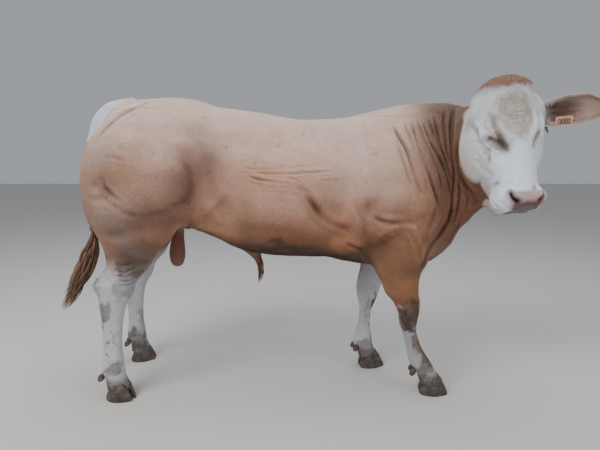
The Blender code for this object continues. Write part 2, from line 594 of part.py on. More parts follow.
# photo-side bulges and hollows of both flanks: centre (y outward), reach, height
BULGES = [
    ((-0.60, 0.28, 0.99), (0.120, 0.14, 0.110), 0.034),    # the great muscle of the thigh
    ((-0.68, 0.28, 0.90), (0.09, 0.12, 0.06), 0.010),
    ((-0.82, 0.28, 0.84), (0.090, 0.12, 0.060), 0.022),    # the one behind and below it
    ((-0.885, 0.26, 0.955), (0.024, 0.10, 0.024), -0.014),
    ((-0.86, 0.26, 0.90), (0.040, 0.10, 0.018), -0.007),
    ((-0.82, 0.26, 1.12), (0.12, 0.12, 0.10), 0.014),
    ((-0.55, 0.28, 0.865), (0.060, 0.12, 0.030), -0.018),  # groove under it, falling backwards
    ((-0.63, 0.28, 0.815), (0.070, 0.12, 0.030), -0.022),
    ((-0.71, 0.28, 0.760), (0.070, 0.12, 0.030), -0.020),
    ((-0.80, 0.28, 0.735), (0.060, 0.12, 0.026), -0.012),
    ((-0.478, 0.24, 1.09), (0.045, 0.12, 0.060), -0.016),
    ((-0.440, 0.24, 0.995), (0.045, 0.12, 0.090), -0.030), # the hollow before the thigh
    ((-0.365, 0.24, 1.03), (0.05, 0.12, 0.08), -0.010),
    ((-0.350, 0.24, 0.925), (0.030, 0.12, 0.034), 0.012),  # fold of skin from stifle to flank
    ((-0.415, 0.24, 0.855), (0.030, 0.12, 0.034), 0.014),
    ((-0.480, 0.22, 0.785), (0.034, 0.12, 0.032), 0.014),
    ((-0.290, 0.24, 0.86), (0.045, 0.12, 0.070), -0.012),
    ((-0.45, 0.22, 1.25), (0.07, 0.10, 0.050), 0.012),     # point of the hip
    ((-0.52, 0.24, 1.18), (0.09, 0.12, 0.040), -0.010),
    ((-0.10, 0.25, 0.90), (0.20, 0.14, 0.12), 0.016),      # barrel
    ((-0.22, 0.24, 1.14), (0.16, 0.12, 0.050), -0.008),
    ((0.02, 0.27, 0.93), (0.07, 0.12, 0.05), 0.008),
    ((0.15, 0.27, 0.83), (0.080, 0.12, 0.060), -0.018),    # behind the shoulder
    ((0.22, 0.27, 0.93), (0.040, 0.12, 0.09), -0.012),
    ((0.36, 0.27, 1.03), (0.09, 0.12, 0.13), 0.018),       # shoulder blade and its muscles
    ((0.315, 0.27, 0.865), (0.030, 0.12, 0.040), -0.018),
    ((0.40, 0.27, 0.835), (0.055, 0.12, 0.018), -0.012),
    ((0.42, 0.27, 0.90), (0.060, 0.12, 0.045), 0.012),
    ((0.38, 0.27, 0.765), (0.050, 0.12, 0.050), 0.014),    # fan of muscle over the forearm
    ((0.46, 0.27, 0.80), (0.030, 0.12, 0.060), -0.008),
    ((0.54, 0.26, 0.74), (0.035, 0.12, 0.075), 0.016),
    ((0.57, 0.24, 0.85), (0.050, 0.12, 0.060), 0.012),     # point of the shoulder
    ((0.52, 0.26, 1.06), (0.05, 0.12, 0.13), -0.006),
    ((0.20, 0.20, 0.66), (0.07, 0.10, 0.035), 0.014),
    ((0.31, 0.22, 0.66), (0.04, 0.10, 0.040), -0.014),
    ((0.46, 0.24, 0.60), (0.07, 0.08, 0.06), 0.006),
    ((-0.80, 0.24, 0.66), (0.05, 0.08, 0.07), 0.006),
]


# ------------------------------------------------------------------ solids
GAP = 0.0004          # real metres left between neighbouring solids
HAIR = 0.004          # working metres that the short coat adds to the skin


def link(me, name):
    ob = bpy.data.objects.new(name, me)
    bpy.context.scene.collection.objects.link(ob)
    return ob


def apply_modifiers(ob):
    dg = bpy.context.evaluated_depsgraph_get()
    me = bpy.data.meshes.new_from_object(ob.evaluated_get(dg))
    ob.modifiers.clear()
    ob.data = me
    return ob


def coords(me):
    v = np.empty(len(me.vertices) * 3)
    me.vertices.foreach_get("co", v)
    return v.reshape(-1, 3)


def boolean(ob, other, operation):
    m = ob.modifiers.new("cut", "BOOLEAN")
    m.operation, m.object, m.solver = operation, other, "EXACT"
    apply_modifiers(ob)


def tidy(ob):
    bm = bmesh.new()
    bm.from_mesh(ob.data)
    bmesh.ops.remove_doubles(bm, verts=bm.verts, dist=2e-5)
    bmesh.ops.dissolve_degenerate(bm, edges=bm.edges, dist=1e-5)
    bmesh.ops.triangulate(bm, faces=bm.faces)
    bmesh.ops.recalc_face_normals(bm, faces=bm.faces)
    bm.to_mesh(ob.data)
    bm.free()


def face_out(mesh):
    """Turn every face of a closed mesh outwards."""
    bm = bmesh.new()
    bm.from_mesh(mesh)
    bmesh.ops.recalc_face_normals(bm, faces=bm.faces)
    bm.to_mesh(mesh)
    bm.free()


def block(centre, half, axes=((1, 0, 0), (0, 1, 0), (0, 0, 1)), name="tool"):
    ax, verts = np.array(axes, float), []
    for i in (-1, 1):
        for j in (-1, 1):
            for k in (-1, 1):
                verts.append(tuple(np.array(centre) + np.array([i, j, k]) * half @ ax))
    faces = [(0, 1, 3, 2), (4, 6, 7, 5), (0, 4, 5, 1), (2, 3, 7, 6), (0, 2, 6, 4), (1, 5, 7, 3)]
    me = bpy.data.meshes.new(name)
    me.from_pydata(verts, [], faces)
    return link(me, name)


def ball(centre, r, name, seg=14, rings=9, squash=1.0, axes=((1, 0, 0), (0, 1, 0), (0, 0, 1))):
    bm = bmesh.new()
    bmesh.ops.create_uvsphere(bm, u_segments=seg, v_segments=rings, radius=r)
    me = bpy.data.meshes.new(name)
    bm.to_mesh(me)
    bm.free()
    v = coords(me) * [1, 1, squash] @ np.array(axes, float) + centre
    me.vertices.foreach_set("co", v.ravel())
    return link(me, name)


def tube(verts, rings, count, name):
    me = bpy.data.meshes.new(name)
    me.from_pydata([tuple(v) for v in verts], [], rings_mesh(verts, rings, count))
    ob = link(me, name)
    tidy(ob)
    return ob


def loose_parts(ob):
    """Split a mesh into its loose pieces, the biggest first."""
    bm = bmesh.new()
    bm.from_mesh(ob.data)
    bm.verts.ensure_lookup_table()
    seen, pieces = set(), []
    for v in bm.verts:
        if v.index in seen:
            continue
        stack, group = [v], []
        seen.add(v.index)
        while stack:
            a = stack.pop()
            group.append(a.index)
            for e in a.link_edges:
                b = e.other_vert(a)
                if b.index not in seen:
                    seen.add(b.index)
                    stack.append(b)
        pieces.append(group)
    out = []
    for group in sorted(pieces, key=len, reverse=True):
        keep = set(group)
        b2 = bm.copy()
        b2.verts.ensure_lookup_table()
        bmesh.ops.delete(b2, geom=[v for v in b2.verts if v.index not in keep], context="VERTS")
        me = bpy.data.meshes.new("piece")
        b2.to_mesh(me)
        b2.free()
        out.append(me)
    bm.free()
    return out


def flesh_body():
    parts = flesh_parts()
    ob = link(seed_mesh(parts), "flesh")
    m = ob.modifiers.new("remesh", "REMESH")
    m.mode, m.voxel_size, m.adaptivity = "VOXEL", 0.013, 0
    apply_modifiers(ob)
    me = ob.data
    v = project(parts, coords(me))
    me.vertices.foreach_set("co", v.ravel())
    me.update()
    n = np.empty(len(me.vertices) * 3)
    me.vertices.foreach_get("normal", n)
    n = n.reshape(-1, 3)
    v = v + n * relief(v, n)[:, None]
    me.vertices.foreach_set("co", v.ravel())
    me.update()
    m = ob.modifiers.new("fewer", "DECIMATE")
    m.ratio = 3420 / (2 * len(me.vertices))
    apply_modifiers(ob)
    tidy(ob)
    return ob, parts


def slab(ob, point, normal, reach, across=None):
    """Take a thin disc-like slab out of a limb, so that it becomes two solids a hair apart."""
    n = unit(normal)
    a = unit(np.cross(n, [0, 1, 0.2] if abs(n[1]) < 0.8 else [1, 0, 0]))
    tool = block(point, np.array([reach, across or reach, GAP / SIZE / 2]), (a, np.cross(n, a), n))
    boolean(ob, tool, "DIFFERENCE")
    bpy.data.objects.remove(tool)


def claw(name, side, x, y, turn, size, outer):
    levels = [row[0] for row in CLAW]
    return tube(claw_points(side, x, y, turn, size, outer, levels, 14), len(levels), 14, name)


def dewclaw(name, side, x, y, turn, outer, z):
    return tube(dewclaw_points(side, x, y, turn, outer, z, 4, 7), 4, 7, name)


def ear(name, pose, thick=0.014):
    nu, nv = 10, 6
    f, b = ear_surface(nu=nu, nv=nv, thick=thick, **pose)
    verts = np.concatenate([f, b])
    o, w = len(f), nv + 1
    faces = []
    for i in range(nu):
        for j in range(nv):
            a = i * w + j
            faces.append((a, a + 1, a + w + 1, a + w))
            faces.append((o + a, o + a + w, o + a + w + 1, o + a + 1))
        for j, flip in ((0, 1), (nv, 0)):
            a = i * w + j
            q = (a, a + w, o + a + w, o + a)
            faces.append(q if flip else q[::-1])
    for i, flip in ((0, 0), (nu, 1)):
        for j in range(nv):
            a = i * w + j
            q = (a, a + 1, o + a + 1, o + a)
            faces.append(q[::-1] if flip else q)
    me = bpy.data.meshes.new(name)
    me.from_pydata([tuple(v) for v in verts], [], faces)
    ob = link(me, name)
    tidy(ob)
    return ob


def sweep_solid(rows, name, step, count):
    q = Sweep(rows, side=(0, 1, 0))
    v, n = q.rings(step, count)
    return tube(v, n, count, name)


def subtract_apart(ob, tools):
    """Cut solids out of another one, each grown by the gap."""
    for t in tools:
        c = t.data.copy()
        tool = link(c, "tool")
        n = np.empty(len(c.vertices) * 3)
        c.vertices.foreach_get("normal", n)
        c.vertices.foreach_set("co", (coords(c) + n.reshape(-1, 3) * GAP / SIZE * 1.6).ravel())
        c.update()
        boolean(ob, tool, "DIFFERENCE")
        bpy.data.objects.remove(tool)


def keep_biggest(ob):
    pieces = loose_parts(ob)
    ob.data = pieces[0]
    for m in pieces[1:]:
        bpy.data.meshes.remove(m)


COLOURS = {  # material name, colour, roughness
    "body": ("coat", (0.46, 0.27, 0.16), 0.9),
    "head": ("coat_white", (0.72, 0.69, 0.66), 0.9),
    "lower": ("coat_grey", (0.55, 0.52, 0.48), 0.9),
    "ear": ("coat_ear", (0.50, 0.32, 0.22), 0.9),
    "tail_switch": ("switch_hair", (0.16, 0.08, 0.05), 0.8),
    "scrotum": ("bare_skin", (0.33, 0.15, 0.10), 0.7),
    "eye": ("eyeball", (0.02, 0.015, 0.012), 0.15),
    "claw": ("horn", (0.07, 0.055, 0.045), 0.5),
    "dewclaw": ("horn", (0.07, 0.055, 0.045), 0.5),
    "ear_tag": ("tag_plastic", (0.78, 0.36, 0.20), 0.45),
}


def material(name, colour, rough):
    m = bpy.data.materials.get(name)
    if m is None:
        m = bpy.data.materials.new(name)
        m.use_nodes = True
        b = m.node_tree.nodes["Principled BSDF"]
        b.inputs["Base Color"].default_value = (*colour, 1.0)
        b.inputs["Roughness"].default_value = rough
        b.inputs["Metallic"].default_value = 0.0
    return m


def main():
    for ob in list(bpy.data.objects):
        bpy.data.objects.remove(ob)
    body, parts = flesh_body()
    nodes = {}

    tail = sweep_solid(TAIL + SWITCH[1:], "tail", 0.05, 10)
    scrotum = sweep_solid(SCROTUM, "scrotum", 0.026, 12)
    sheath = sweep_solid(SHEATH, "sheath", 0.03, 9)
    ears = [ear("ear_left", LEFT_EAR), ear("ear_right", RIGHT_EAR)]
    claws, dews = [], []
    for name, side, x, y, turn, size in FEET:
        for which, outer in (("outer", 1), ("inner", -1)):
            claws.append(claw("claw_%s_%s" % (name, which), side, x, y, turn, size, outer))
            back, z = DEWCLAWS[name]
            dews.append(dewclaw("dewclaw_%s_%s" % (name, which), side, back, y, turn, outer, z))
    eyes = []
    for name, s in (("eye_left", 1), ("eye_right", -1)):
        l, a, d = EYE_AT
        eyes.append(ball(on_head(l, s * a, d), EYE_R, name))

    # soft parts that hang from the body are trimmed by it, hard parts are set into it
    for ob in [tail, scrotum, sheath] + ears:
        subtract_apart(ob, [body])
        keep_biggest(ob)
    subtract_apart(body, claws + dews + eyes)
    keep_biggest(body)

    # the body's own parts
    slab(body, (0.595, 0.0, 1.05), (1, -0.04, 0.05), 0.55)
    slab(body, (0.80, 0.04, 1.02), (0.86, -0.51, 0.03), 0.54, 0.47)
    for name, side, _, _, _, _ in FEET:
        if "hind" in name:
            dx = 0.0 if side < 0 else -0.045
            slab(body, (-0.77 + dx, side * 0.19, 0.665), (0.25, -side * 0.30, 1.0), 0.17)
            slab(body, (-0.872 + dx, side * 0.211, 0.37), (0.0, 0, 1.0), 0.10)
        else:
            x = 0.470 if side < 0 else 0.42
            slab(body, (x, side * 0.155, 0.525), (0, 0, 1.0), 0.145)
            slab(body, ((0.5165, 0.363)[side > 0], side * 0.15, 0.305), (0, 0, 1.0), 0.08)
    pieces = loose_parts(body)
    bpy.data.objects.remove(body)

    places = {
        "trunk": (0.0, 0.0, 0.95), "neck": (0.69, 0.0, 1.05), "head": tuple(on_head(0.25, 0, -0.1)),
        "upper_hind_right": (-0.85, -0.205, 0.52), "upper_hind_left": (-0.89, 0.205, 0.52),
        "lower_hind_right": (-0.875, -0.215, 0.2), "lower_hind_left": (-0.92, 0.215, 0.2),
        "upper_fore_right": (0.48, -0.155, 0.45), "upper_fore_left": (0.40, 0.15, 0.45),
        "lower_fore_right": (0.55, -0.155, 0.17), "lower_fore_left": (0.35, 0.14, 0.17),
    }
    for me in pieces:
        if len(me.vertices) < 20:
            continue
        v = coords(me)
        mid = (v.max(0) + v.min(0)) / 2
        name = min(places, key=lambda k: np.linalg.norm(mid - places[k]))
        if name in nodes:
            print("two pieces for", name, mid, len(v))
            continue
        nodes[name] = link(me, name)

    # the tail is two solids: its fleshy part and its switch of hair
    slab(tail, (-1.030, 0, 0.735), (0, 0, 1), 0.08)
    two = sorted(loose_parts(tail), key=lambda m: -coords(m)[:, 2].max())
    nodes["tail_dock"], nodes["tail_switch"] = link(two[0], "tail_dock"), link(two[1], "tail_switch")
    bpy.data.objects.remove(tail)
    for ob in [scrotum, sheath] + ears + claws + dews + eyes:
        nodes[ob.name] = ob

    # ear tag: a plate before the left ear's lower half
    e, n, up = ear_frame(LEFT_EAR)
    tag = block(TAG_AT, np.array([*TAG_HALF, 0.0026]), (e, up, n), "ear_tag")
    face_out(tag.data)
    subtract_apart(tag, [nodes["ear_left"]])
    keep_biggest(tag)
    nodes["ear_tag"] = tag

    # real size, soles on the floor, outline centred; each piece turns about its own middle
    home = bpy.data.collections.new("young_beef_bull")
    bpy.context.scene.collection.children.link(home)
    root = bpy.data.objects.new("bull_stand_point", None)
    home.objects.link(root)
    for name, ob in sorted(nodes.items()):
        tidy(ob)
        v = (coords(ob.data) - [CENTRE[0], CENTRE[1], SOLE]) * SIZE
        mid = (v.max(0) + v.min(0)) / 2
        ob.data.vertices.foreach_set("co", (v - mid).ravel())
        ob.data.update()
        ob.name = ob.data.name = name
        ob.location = mid
        ob.parent = root
        look = COLOURS.get(name.split("_")[0], COLOURS["body"])
        if name in COLOURS:
            look = COLOURS[name]
        ob.data.materials.clear()
        ob.data.materials.append(material(*look))
        for c in list(ob.users_collection):
            c.objects.unlink(ob)
        home.objects.link(ob)
    corners = np.array([np.array(ob.location) + k * (coords(ob.data).max(0)) for ob in nodes.values() for k in (-1, 1)])
    print("outline's middle", (corners.max(0) + corners.min(0)) / 2, "nodes", len(nodes))


main()
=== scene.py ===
"""Looks of the standing young bull: skin, coat, eyes, claws, tag, light and camera."""
import math

import bmesh
import bpy
import numpy as np
from mathutils import Matrix, Vector


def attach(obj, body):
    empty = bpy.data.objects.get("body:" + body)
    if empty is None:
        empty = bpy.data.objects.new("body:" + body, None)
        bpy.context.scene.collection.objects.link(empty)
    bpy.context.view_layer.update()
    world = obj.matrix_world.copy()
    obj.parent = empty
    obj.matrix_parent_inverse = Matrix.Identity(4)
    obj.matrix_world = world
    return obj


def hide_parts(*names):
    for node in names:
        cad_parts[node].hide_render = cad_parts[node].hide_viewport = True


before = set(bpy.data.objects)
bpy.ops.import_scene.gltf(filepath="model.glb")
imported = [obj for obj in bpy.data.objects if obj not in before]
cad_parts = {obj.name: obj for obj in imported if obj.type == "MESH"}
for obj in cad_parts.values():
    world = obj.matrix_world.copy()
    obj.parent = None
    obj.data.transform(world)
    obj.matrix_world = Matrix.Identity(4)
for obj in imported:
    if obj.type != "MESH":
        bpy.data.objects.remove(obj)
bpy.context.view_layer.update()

# ------------------------------------------------------------------ the animal's shape
# Working frame (metres before SIZE is applied): x forward, y to the animal's left, z up from the
# coronets; the middle plane of the trunk is y = 0.
SIZE = 0.82          # working metres to real metres
SOLE = -0.045        # height of the soles
CENTRE = (0.0362, -0.0464)  # middle of the whole outline on the floor, working frame
EYE = np.array([0.0, -2.235, 1.05])   # the viewpoint that the outline was measured from
PITCH, FOCAL = math.radians(7.58), 451.0


def unit(a):
    a = np.asarray(a, float)
    return a / np.linalg.norm(a)


def smooth(a, b, x):
    t = np.clip((x - a) / (b - a), 0, 1)
    return t * t * (3 - 2 * t)


class Table:
    """Smooth, overshoot-free interpolation of rows sorted by their first number."""

    def __init__(self, rows):
        rows = np.array(rows, float)
        rows = rows[np.argsort(rows[:, 0])]
        self.x, self.y = rows[:, 0], rows[:, 1:]
        h = np.diff(self.x)[:, None]
        d = np.diff(self.y, axis=0) / h
        m = np.zeros_like(self.y)
        m[0], m[-1] = d[0], d[-1]
        if len(rows) > 2:
            w1, w2 = 2 * h[1:] + h[:-1], h[1:] + 2 * h[:-1]
            same = d[1:] * d[:-1] > 0
            with np.errstate(divide="ignore", invalid="ignore"):
                hm = (w1 + w2) / (w1 / d[:-1] + w2 / d[1:])
            m[1:-1] = np.where(same, hm, 0)
        self.m = m

    def __call__(self, x):
        x = np.clip(np.asarray(x, float), self.x[0], self.x[-1])
        i = np.clip(np.searchsorted(self.x, x) - 1, 0, len(self.x) - 2)
        h = self.x[i + 1] - self.x[i]
        t = ((x - self.x[i]) / h)[..., None]
        h = h[..., None]
        return (
            (2 * t**3 - 3 * t**2 + 1) * self.y[i]
            + (t**3 - 2 * t**2 + t) * h * self.m[i]
            + (-2 * t**3 + 3 * t**2) * self.y[i + 1]
            + (t**3 - t**2) * h * self.m[i + 1]
        )


def section_distance(du, dv, w, up, down, n, taper):
    """About how far a point in a section's plane lies outside its rounded outline."""
    h = np.where(dv > 0, up, down)
    wl = w * (1 + taper * np.clip(dv / h, -1, 1))
    r = ((np.abs(du) / wl) ** n + (np.abs(dv) / h) ** n) ** (1 / n)
    rad = np.hypot(du, dv)
    return np.where(r > 0.05, rad * (1 - 1 / np.maximum(r, 0.05)), -np.minimum(wl, h))


def ring_point(a, w, up, down, n, taper):
    c, s = math.cos(a), math.sin(a)
    h = up if s > 0 else down
    v = h * math.copysign(abs(s) ** (2 / n), s)
    return w * (1 + taper * v / h) * math.copysign(abs(c) ** (2 / n), c), v


def end_cap(d, out):
    return np.where(out > 0, np.where(d > 0, np.hypot(d, out), np.maximum(d, out)), d)


class Loft:
    """Sections along a straight axis. Rows: s, centre u, centre v, half width, up, down, exponent, taper."""

    def __init__(self, rows, origin=(0, 0, 0), axes=((1, 0, 0), (0, 1, 0), (0, 0, 1)), k=0.05):
        self.table = Table(rows)
        self.o, self.ax, self.k = np.array(origin, float), np.array(axes, float), k
        self.lo, self.hi = self.table.x[0], self.table.x[-1]

    def field(self, p):
        q = (p - self.o) @ self.ax.T
        s = np.clip(q[:, 0], self.lo, self.hi)
        cu, cv, w, up, down, n, tp = self.table(s).T
        d = section_distance(q[:, 1] - cu, q[:, 2] - cv, w, up, down, n, tp)
        return end_cap(d, np.abs(q[:, 0] - s))

    def rings(self, step, count):
        n = max(3, int((self.hi - self.lo) / step) + 1)
        verts = []
        for s in np.linspace(self.lo, self.hi, n):
            cu, cv, w, up, down, e, tp = self.table(s)
            for j in range(count):
                u, v = ring_point(2 * math.pi * j / count, w, up, down, e, tp)
                verts.append(self.o + s * self.ax[0] + (cu + u) * self.ax[1] + (cv + v) * self.ax[2])
        return verts, n


class Sweep:
    """Sections along a bent axis. Rows: x, y, z of the axis, half width, up, down, exponent, taper."""

    def __init__(self, rows, k=0.05, fine=40, side=None):
        rows = np.array(rows, float)
        t = np.concatenate([[0], np.cumsum(np.linalg.norm(np.diff(rows[:, :3], axis=0), axis=1))])
        self.table = Table(np.column_stack([t, rows]))
        self.s = np.linspace(0, t[-1], fine)
        self.p = self.table(self.s)[:, :3]
        self.k = k
        tan = np.gradient(self.p, axis=0)
        self.t = tan / np.linalg.norm(tan, axis=1)[:, None]
        if side is None:
            u = np.cross(np.array([0, 0, 1.0]), self.t)
        else:
            u = np.tile(np.array(side, float), (fine, 1))
            u -= (u * self.t).sum(1)[:, None] * self.t
        self.u = u / np.linalg.norm(u, axis=1)[:, None]
        self.v = np.cross(self.t, self.u)

    def field(self, p):
        best = np.full(len(p), 1e9)
        seg = np.zeros(len(p), int)
        f = np.zeros(len(p))
        for i in range(len(self.p) - 1):
            a, ab = self.p[i], self.p[i + 1] - self.p[i]
            g = np.clip((p - a) @ ab / (ab @ ab), 0, 1)
            d = np.linalg.norm(p - a - g[:, None] * ab, axis=1)
            m = d < best
            best[m], seg[m], f[m] = d[m], i, g[m]
        end = ((seg == 0) & (f <= 0)) | ((seg == len(self.p) - 2) & (f >= 1))
        s = self.s[seg] + (self.s[seg + 1] - self.s[seg]) * f
        f = f[:, None]
        c, u, v, t = (a[seg] * (1 - f) + a[seg + 1] * f for a in (self.p, self.u, self.v, self.t))
        w, up, down, n, tp = self.table(s)[:, 3:].T
        q = p - c
        d = section_distance((q * u).sum(1), (q * v).sum(1), w, up, down, n, tp)
        return end_cap(d, np.where(end, np.abs((q * t).sum(1)), 0))

    def rings(self, step, count):
        n = max(3, int(self.s[-1] / step) + 1)
        verts = []
        for s in np.linspace(0, self.s[-1], n):
            row = self.table(s)
            g = s / self.s[-1] * (len(self.s) - 1)
            i = min(int(g), len(self.s) - 2)
            f = g - i
            u, v = unit(self.u[i] * (1 - f) + self.u[i + 1] * f), unit(self.v[i] * (1 - f) + self.v[i + 1] * f)
            for j in range(count):
                a, b = ring_point(2 * math.pi * j / count, *row[3:])
                verts.append(row[:3] + a * u + b * v)
        return verts, n


class Blob:
    """An ellipsoid: centre, half sizes along its own axes (rows of axes)."""

    def __init__(self, centre, size, axes=((1, 0, 0), (0, 1, 0), (0, 0, 1)), k=0.05):
        self.c, self.r, self.ax, self.k = np.array(centre, float), np.array(size, float), np.array(axes, float), k

    def field(self, p):
        q = (p - self.c) @ self.ax.T
        k0 = np.linalg.norm(q / self.r, axis=1)
        k1 = np.linalg.norm(q / self.r**2, axis=1)
        return k0 * (k0 - 1) / np.maximum(k1, 1e-9)

    def rings(self, step, count):
        verts, n = [], 9
        for i in range(n):
            a = math.pi * (i + 0.35) / (n - 0.3)
            for j in range(count):
                b = 2 * math.pi * j / count
                q = self.r * np.array([math.sin(a) * math.cos(b), math.sin(a) * math.sin(b), math.cos(a)])
                verts.append(self.c + q @ self.ax)
        return verts, n


def blend(a, b, k):
    h = np.maximum(k - np.abs(a - b), 0) / k
    return np.minimum(a, b) - h * h * k / 4


# trunk: x, top, bottom, half width, exponent, taper
TRUNK = [
    (-0.985, 1.235, 1.08, 0.035, 2.0, 0.0),
    (-0.95, 1.285, 0.98, 0.075, 2.0, 0.0),
    (-0.90, 1.325, 0.90, 0.135, 2.1, 0.0),
    (-0.82, 1.357, 0.83, 0.205, 2.2, -0.05),
    (-0.70, 1.366, 0.79, 0.240, 2.3, -0.08),
    (-0.58, 1.371, 0.75, 0.246, 2.4, -0.05),
    (-0.48, 1.357, 0.720, 0.240, 2.4, -0.05),
    (-0.40, 1.331, 0.686, 0.236, 2.35, -0.08),
    (-0.29, 1.316, 0.634, 0.243, 2.3, -0.12),
    (-0.18, 1.300, 0.612, 0.255, 2.25, -0.16),
    (-0.08, 1.282, 0.602, 0.266, 2.2, -0.18),
    (0.02, 1.273, 0.600, 0.272, 2.2, -0.20),
    (0.12, 1.272, 0.600, 0.272, 2.2, -0.22),
    (0.22, 1.279, 0.580, 0.266, 2.2, -0.25),
    (0.32, 1.298, 0.560, 0.255, 2.15, -0.28),
    (0.43, 1.311, 0.555, 0.240, 2.1, -0.30),
    (0.53, 1.333, 0.553, 0.220, 2.1, -0.28),
    (0.62, 1.342, 0.565, 0.195, 2.1, -0.22),
    (0.70, 1.340, 0.605, 0.160, 2.0, -0.15),
    (0.75, 1.325, 0.650, 0.120, 2.0, -0.10),
]
# legs: z, outward y, centre x, half width, front, rear, exponent, taper
HIND = [
    (1.30, 0.085, -0.72, 0.075, 0.12, 0.14, 2.0, 0),
    (1.22, 0.125, -0.725, 0.105, 0.185, 0.19, 2.1, 0),
    (1.12, 0.160, -0.735, 0.135, 0.225, 0.235, 2.2, 0),
    (1.00, 0.168, -0.740, 0.150, 0.245, 0.255, 2.3, 0.05),
    (0.90, 0.168, -0.745, 0.148, 0.235, 0.245, 2.3, 0.05),
    (0.80, 0.163, -0.755, 0.135, 0.205, 0.220, 2.3, 0.05),
    (0.72, 0.172, -0.758, 0.108, 0.168, 0.175, 2.2, 0.05),
    (0.65, 0.188, -0.775, 0.074, 0.122, 0.130, 2.1, 0.15),
    (0.58, 0.200, -0.796, 0.056, 0.103, 0.105, 2.0, 0.25),
    (0.53, 0.205, -0.838, 0.052, 0.100, 0.104, 2.0, 0.30),
    (0.50, 0.208, -0.856, 0.051, 0.100, 0.104, 2.0, 0.30),
    (0.45, 0.210, -0.860, 0.046, 0.086, 0.078, 2.1, 0.25),
    (0.40, 0.210, -0.869, 0.038, 0.064, 0.064, 2.2, 0.15),
    (0.30, 0.212, -0.876, 0.031, 0.049, 0.049, 2.2, 0.10),
    (0.20, 0.214, -0.877, 0.031, 0.045, 0.046, 2.2, 0.10),
    (0.14, 0.215, -0.876, 0.037, 0.049, 0.052, 2.2, 0.0),
    (0.09, 0.216, -0.874, 0.044, 0.051, 0.060, 2.2, 0.0),
    (0.05, 0.217, -0.866, 0.043, 0.052, 0.050, 2.2, 0.0),
    (0.012, 0.218, -0.858, 0.047, 0.058, 0.050, 2.2, 0.0),
]
FORE_UP = [
    (1.27, 0.055, 0.45, 0.055, 0.08, 0.10, 2.0, 0),
    (1.20, 0.090, 0.43, 0.090, 0.13, 0.15, 2.0, 0),
    (1.10, 0.120, 0.425, 0.120, 0.165, 0.175, 2.1, 0),
    (1.00, 0.132, 0.435, 0.135, 0.185, 0.190, 2.2, 0),
    (0.90, 0.138, 0.455, 0.142, 0.190, 0.190, 2.2, 0),
    (0.80, 0.143, 0.470, 0.140, 0.170, 0.170, 2.2, 0),
    (0.72, 0.150, 0.475, 0.122, 0.150, 0.145, 2.2, 0),
    (0.65, 0.153, 0.473, 0.098, 0.137, 0.126, 2.1, 0),
    (0.60, 0.155, 0.471, 0.080, 0.131, 0.122, 2.1, 0),
]
FORE_NEAR = FORE_UP + [
    (0.55, 0.155, 0.466, 0.068, 0.111, 0.111, 2.1, 0),
    (0.50, 0.155, 0.474, 0.061, 0.093, 0.094, 2.1, 0),
    (0.45, 0.155, 0.485, 0.055, 0.082, 0.084, 2.1, 0),
    (0.40, 0.155, 0.508, 0.051, 0.067, 0.067, 2.2, 0),
    (0.35, 0.155, 0.516, 0.050, 0.054, 0.053, 2.3, 0),
    (0.30, 0.155, 0.5165, 0.042, 0.045, 0.045, 2.3, 0),
    (0.25, 0.155, 0.5255, 0.034, 0.038, 0.038, 2.2, 0),
    (0.20, 0.155, 0.5415, 0.032, 0.040, 0.040, 2.2, 0),
    (0.15, 0.156, 0.5600, 0.036, 0.048, 0.048, 2.2, 0),
    (0.10, 0.157, 0.5830, 0.043, 0.056, 0.057, 2.2, 0),
    (0.06, 0.158, 0.6080, 0.043, 0.052, 0.050, 2.2, 0),
    (0.012, 0.159, 0.6300, 0.048, 0.058, 0.052, 2.2, 0),
]
FORE_FAR = [(z, y, x - 0.03 * float(smooth(0.9, 0.6, z)), w, f, r, n, t) for z, y, x, w, f, r, n, t in FORE_UP] + [
    (0.55, 0.150, 0.428, 0.068, 0.105, 0.105, 2.1, 0),
    (0.50, 0.148, 0.412, 0.061, 0.093, 0.094, 2.1, 0),
    (0.45, 0.146, 0.388, 0.055, 0.080, 0.080, 2.1, 0),
    (0.40, 0.144, 0.370, 0.051, 0.069, 0.069, 2.2, 0),
    (0.36, 0.143, 0.365, 0.050, 0.062, 0.062, 2.3, 0),
    (0.32, 0.142, 0.363, 0.042, 0.050, 0.052, 2.3, 0),
    (0.267, 0.141, 0.355, 0.034, 0.037, 0.037, 2.2, 0),
    (0.21, 0.140, 0.350, 0.032, 0.035, 0.036, 2.2, 0),
    (0.15, 0.140, 0.3455, 0.036, 0.044, 0.044, 2.2, 0),
    (0.09, 0.140, 0.344, 0.043, 0.052, 0.054, 2.2, 0),
    (0.05, 0.140, 0.360, 0.043, 0.050, 0.050, 2.2, 0),
    (0.012, 0.140, 0.376, 0.048, 0.057, 0.052, 2.2, 0),
]
NECK = [  # x, y, z, half width, up, down, exponent, taper
    (0.36, 0.0, 0.985, 0.235, 0.29, 0.37, 2.1, -0.15),
    (0.53, 0.0, 1.02, 0.212, 0.305, 0.38, 2.1, -0.12),
    (0.64, -0.005, 1.045, 0.182, 0.295, 0.355, 2.1, -0.08),
    (0.735, -0.035, 1.075, 0.152, 0.265, 0.305, 2.1, -0.05),
    (0.81, -0.10, 1.105, 0.133, 0.235, 0.245, 2.1, -0.05),
    (0.85, -0.18, 1.14, 0.122, 0.205, 0.195, 2.1, 0.0),
    (0.865, -0.26, 1.18, 0.108, 0.165, 0.155, 2.1, 0.0),
]
# head frame: l from the poll down the face, s to the head's left, d out of the face
POLL = np.array([0.877, -0.305, 1.383])
HEAD_YAW, HEAD_TILT, HEAD_ROLL = 87.5, 14.0, 4.7


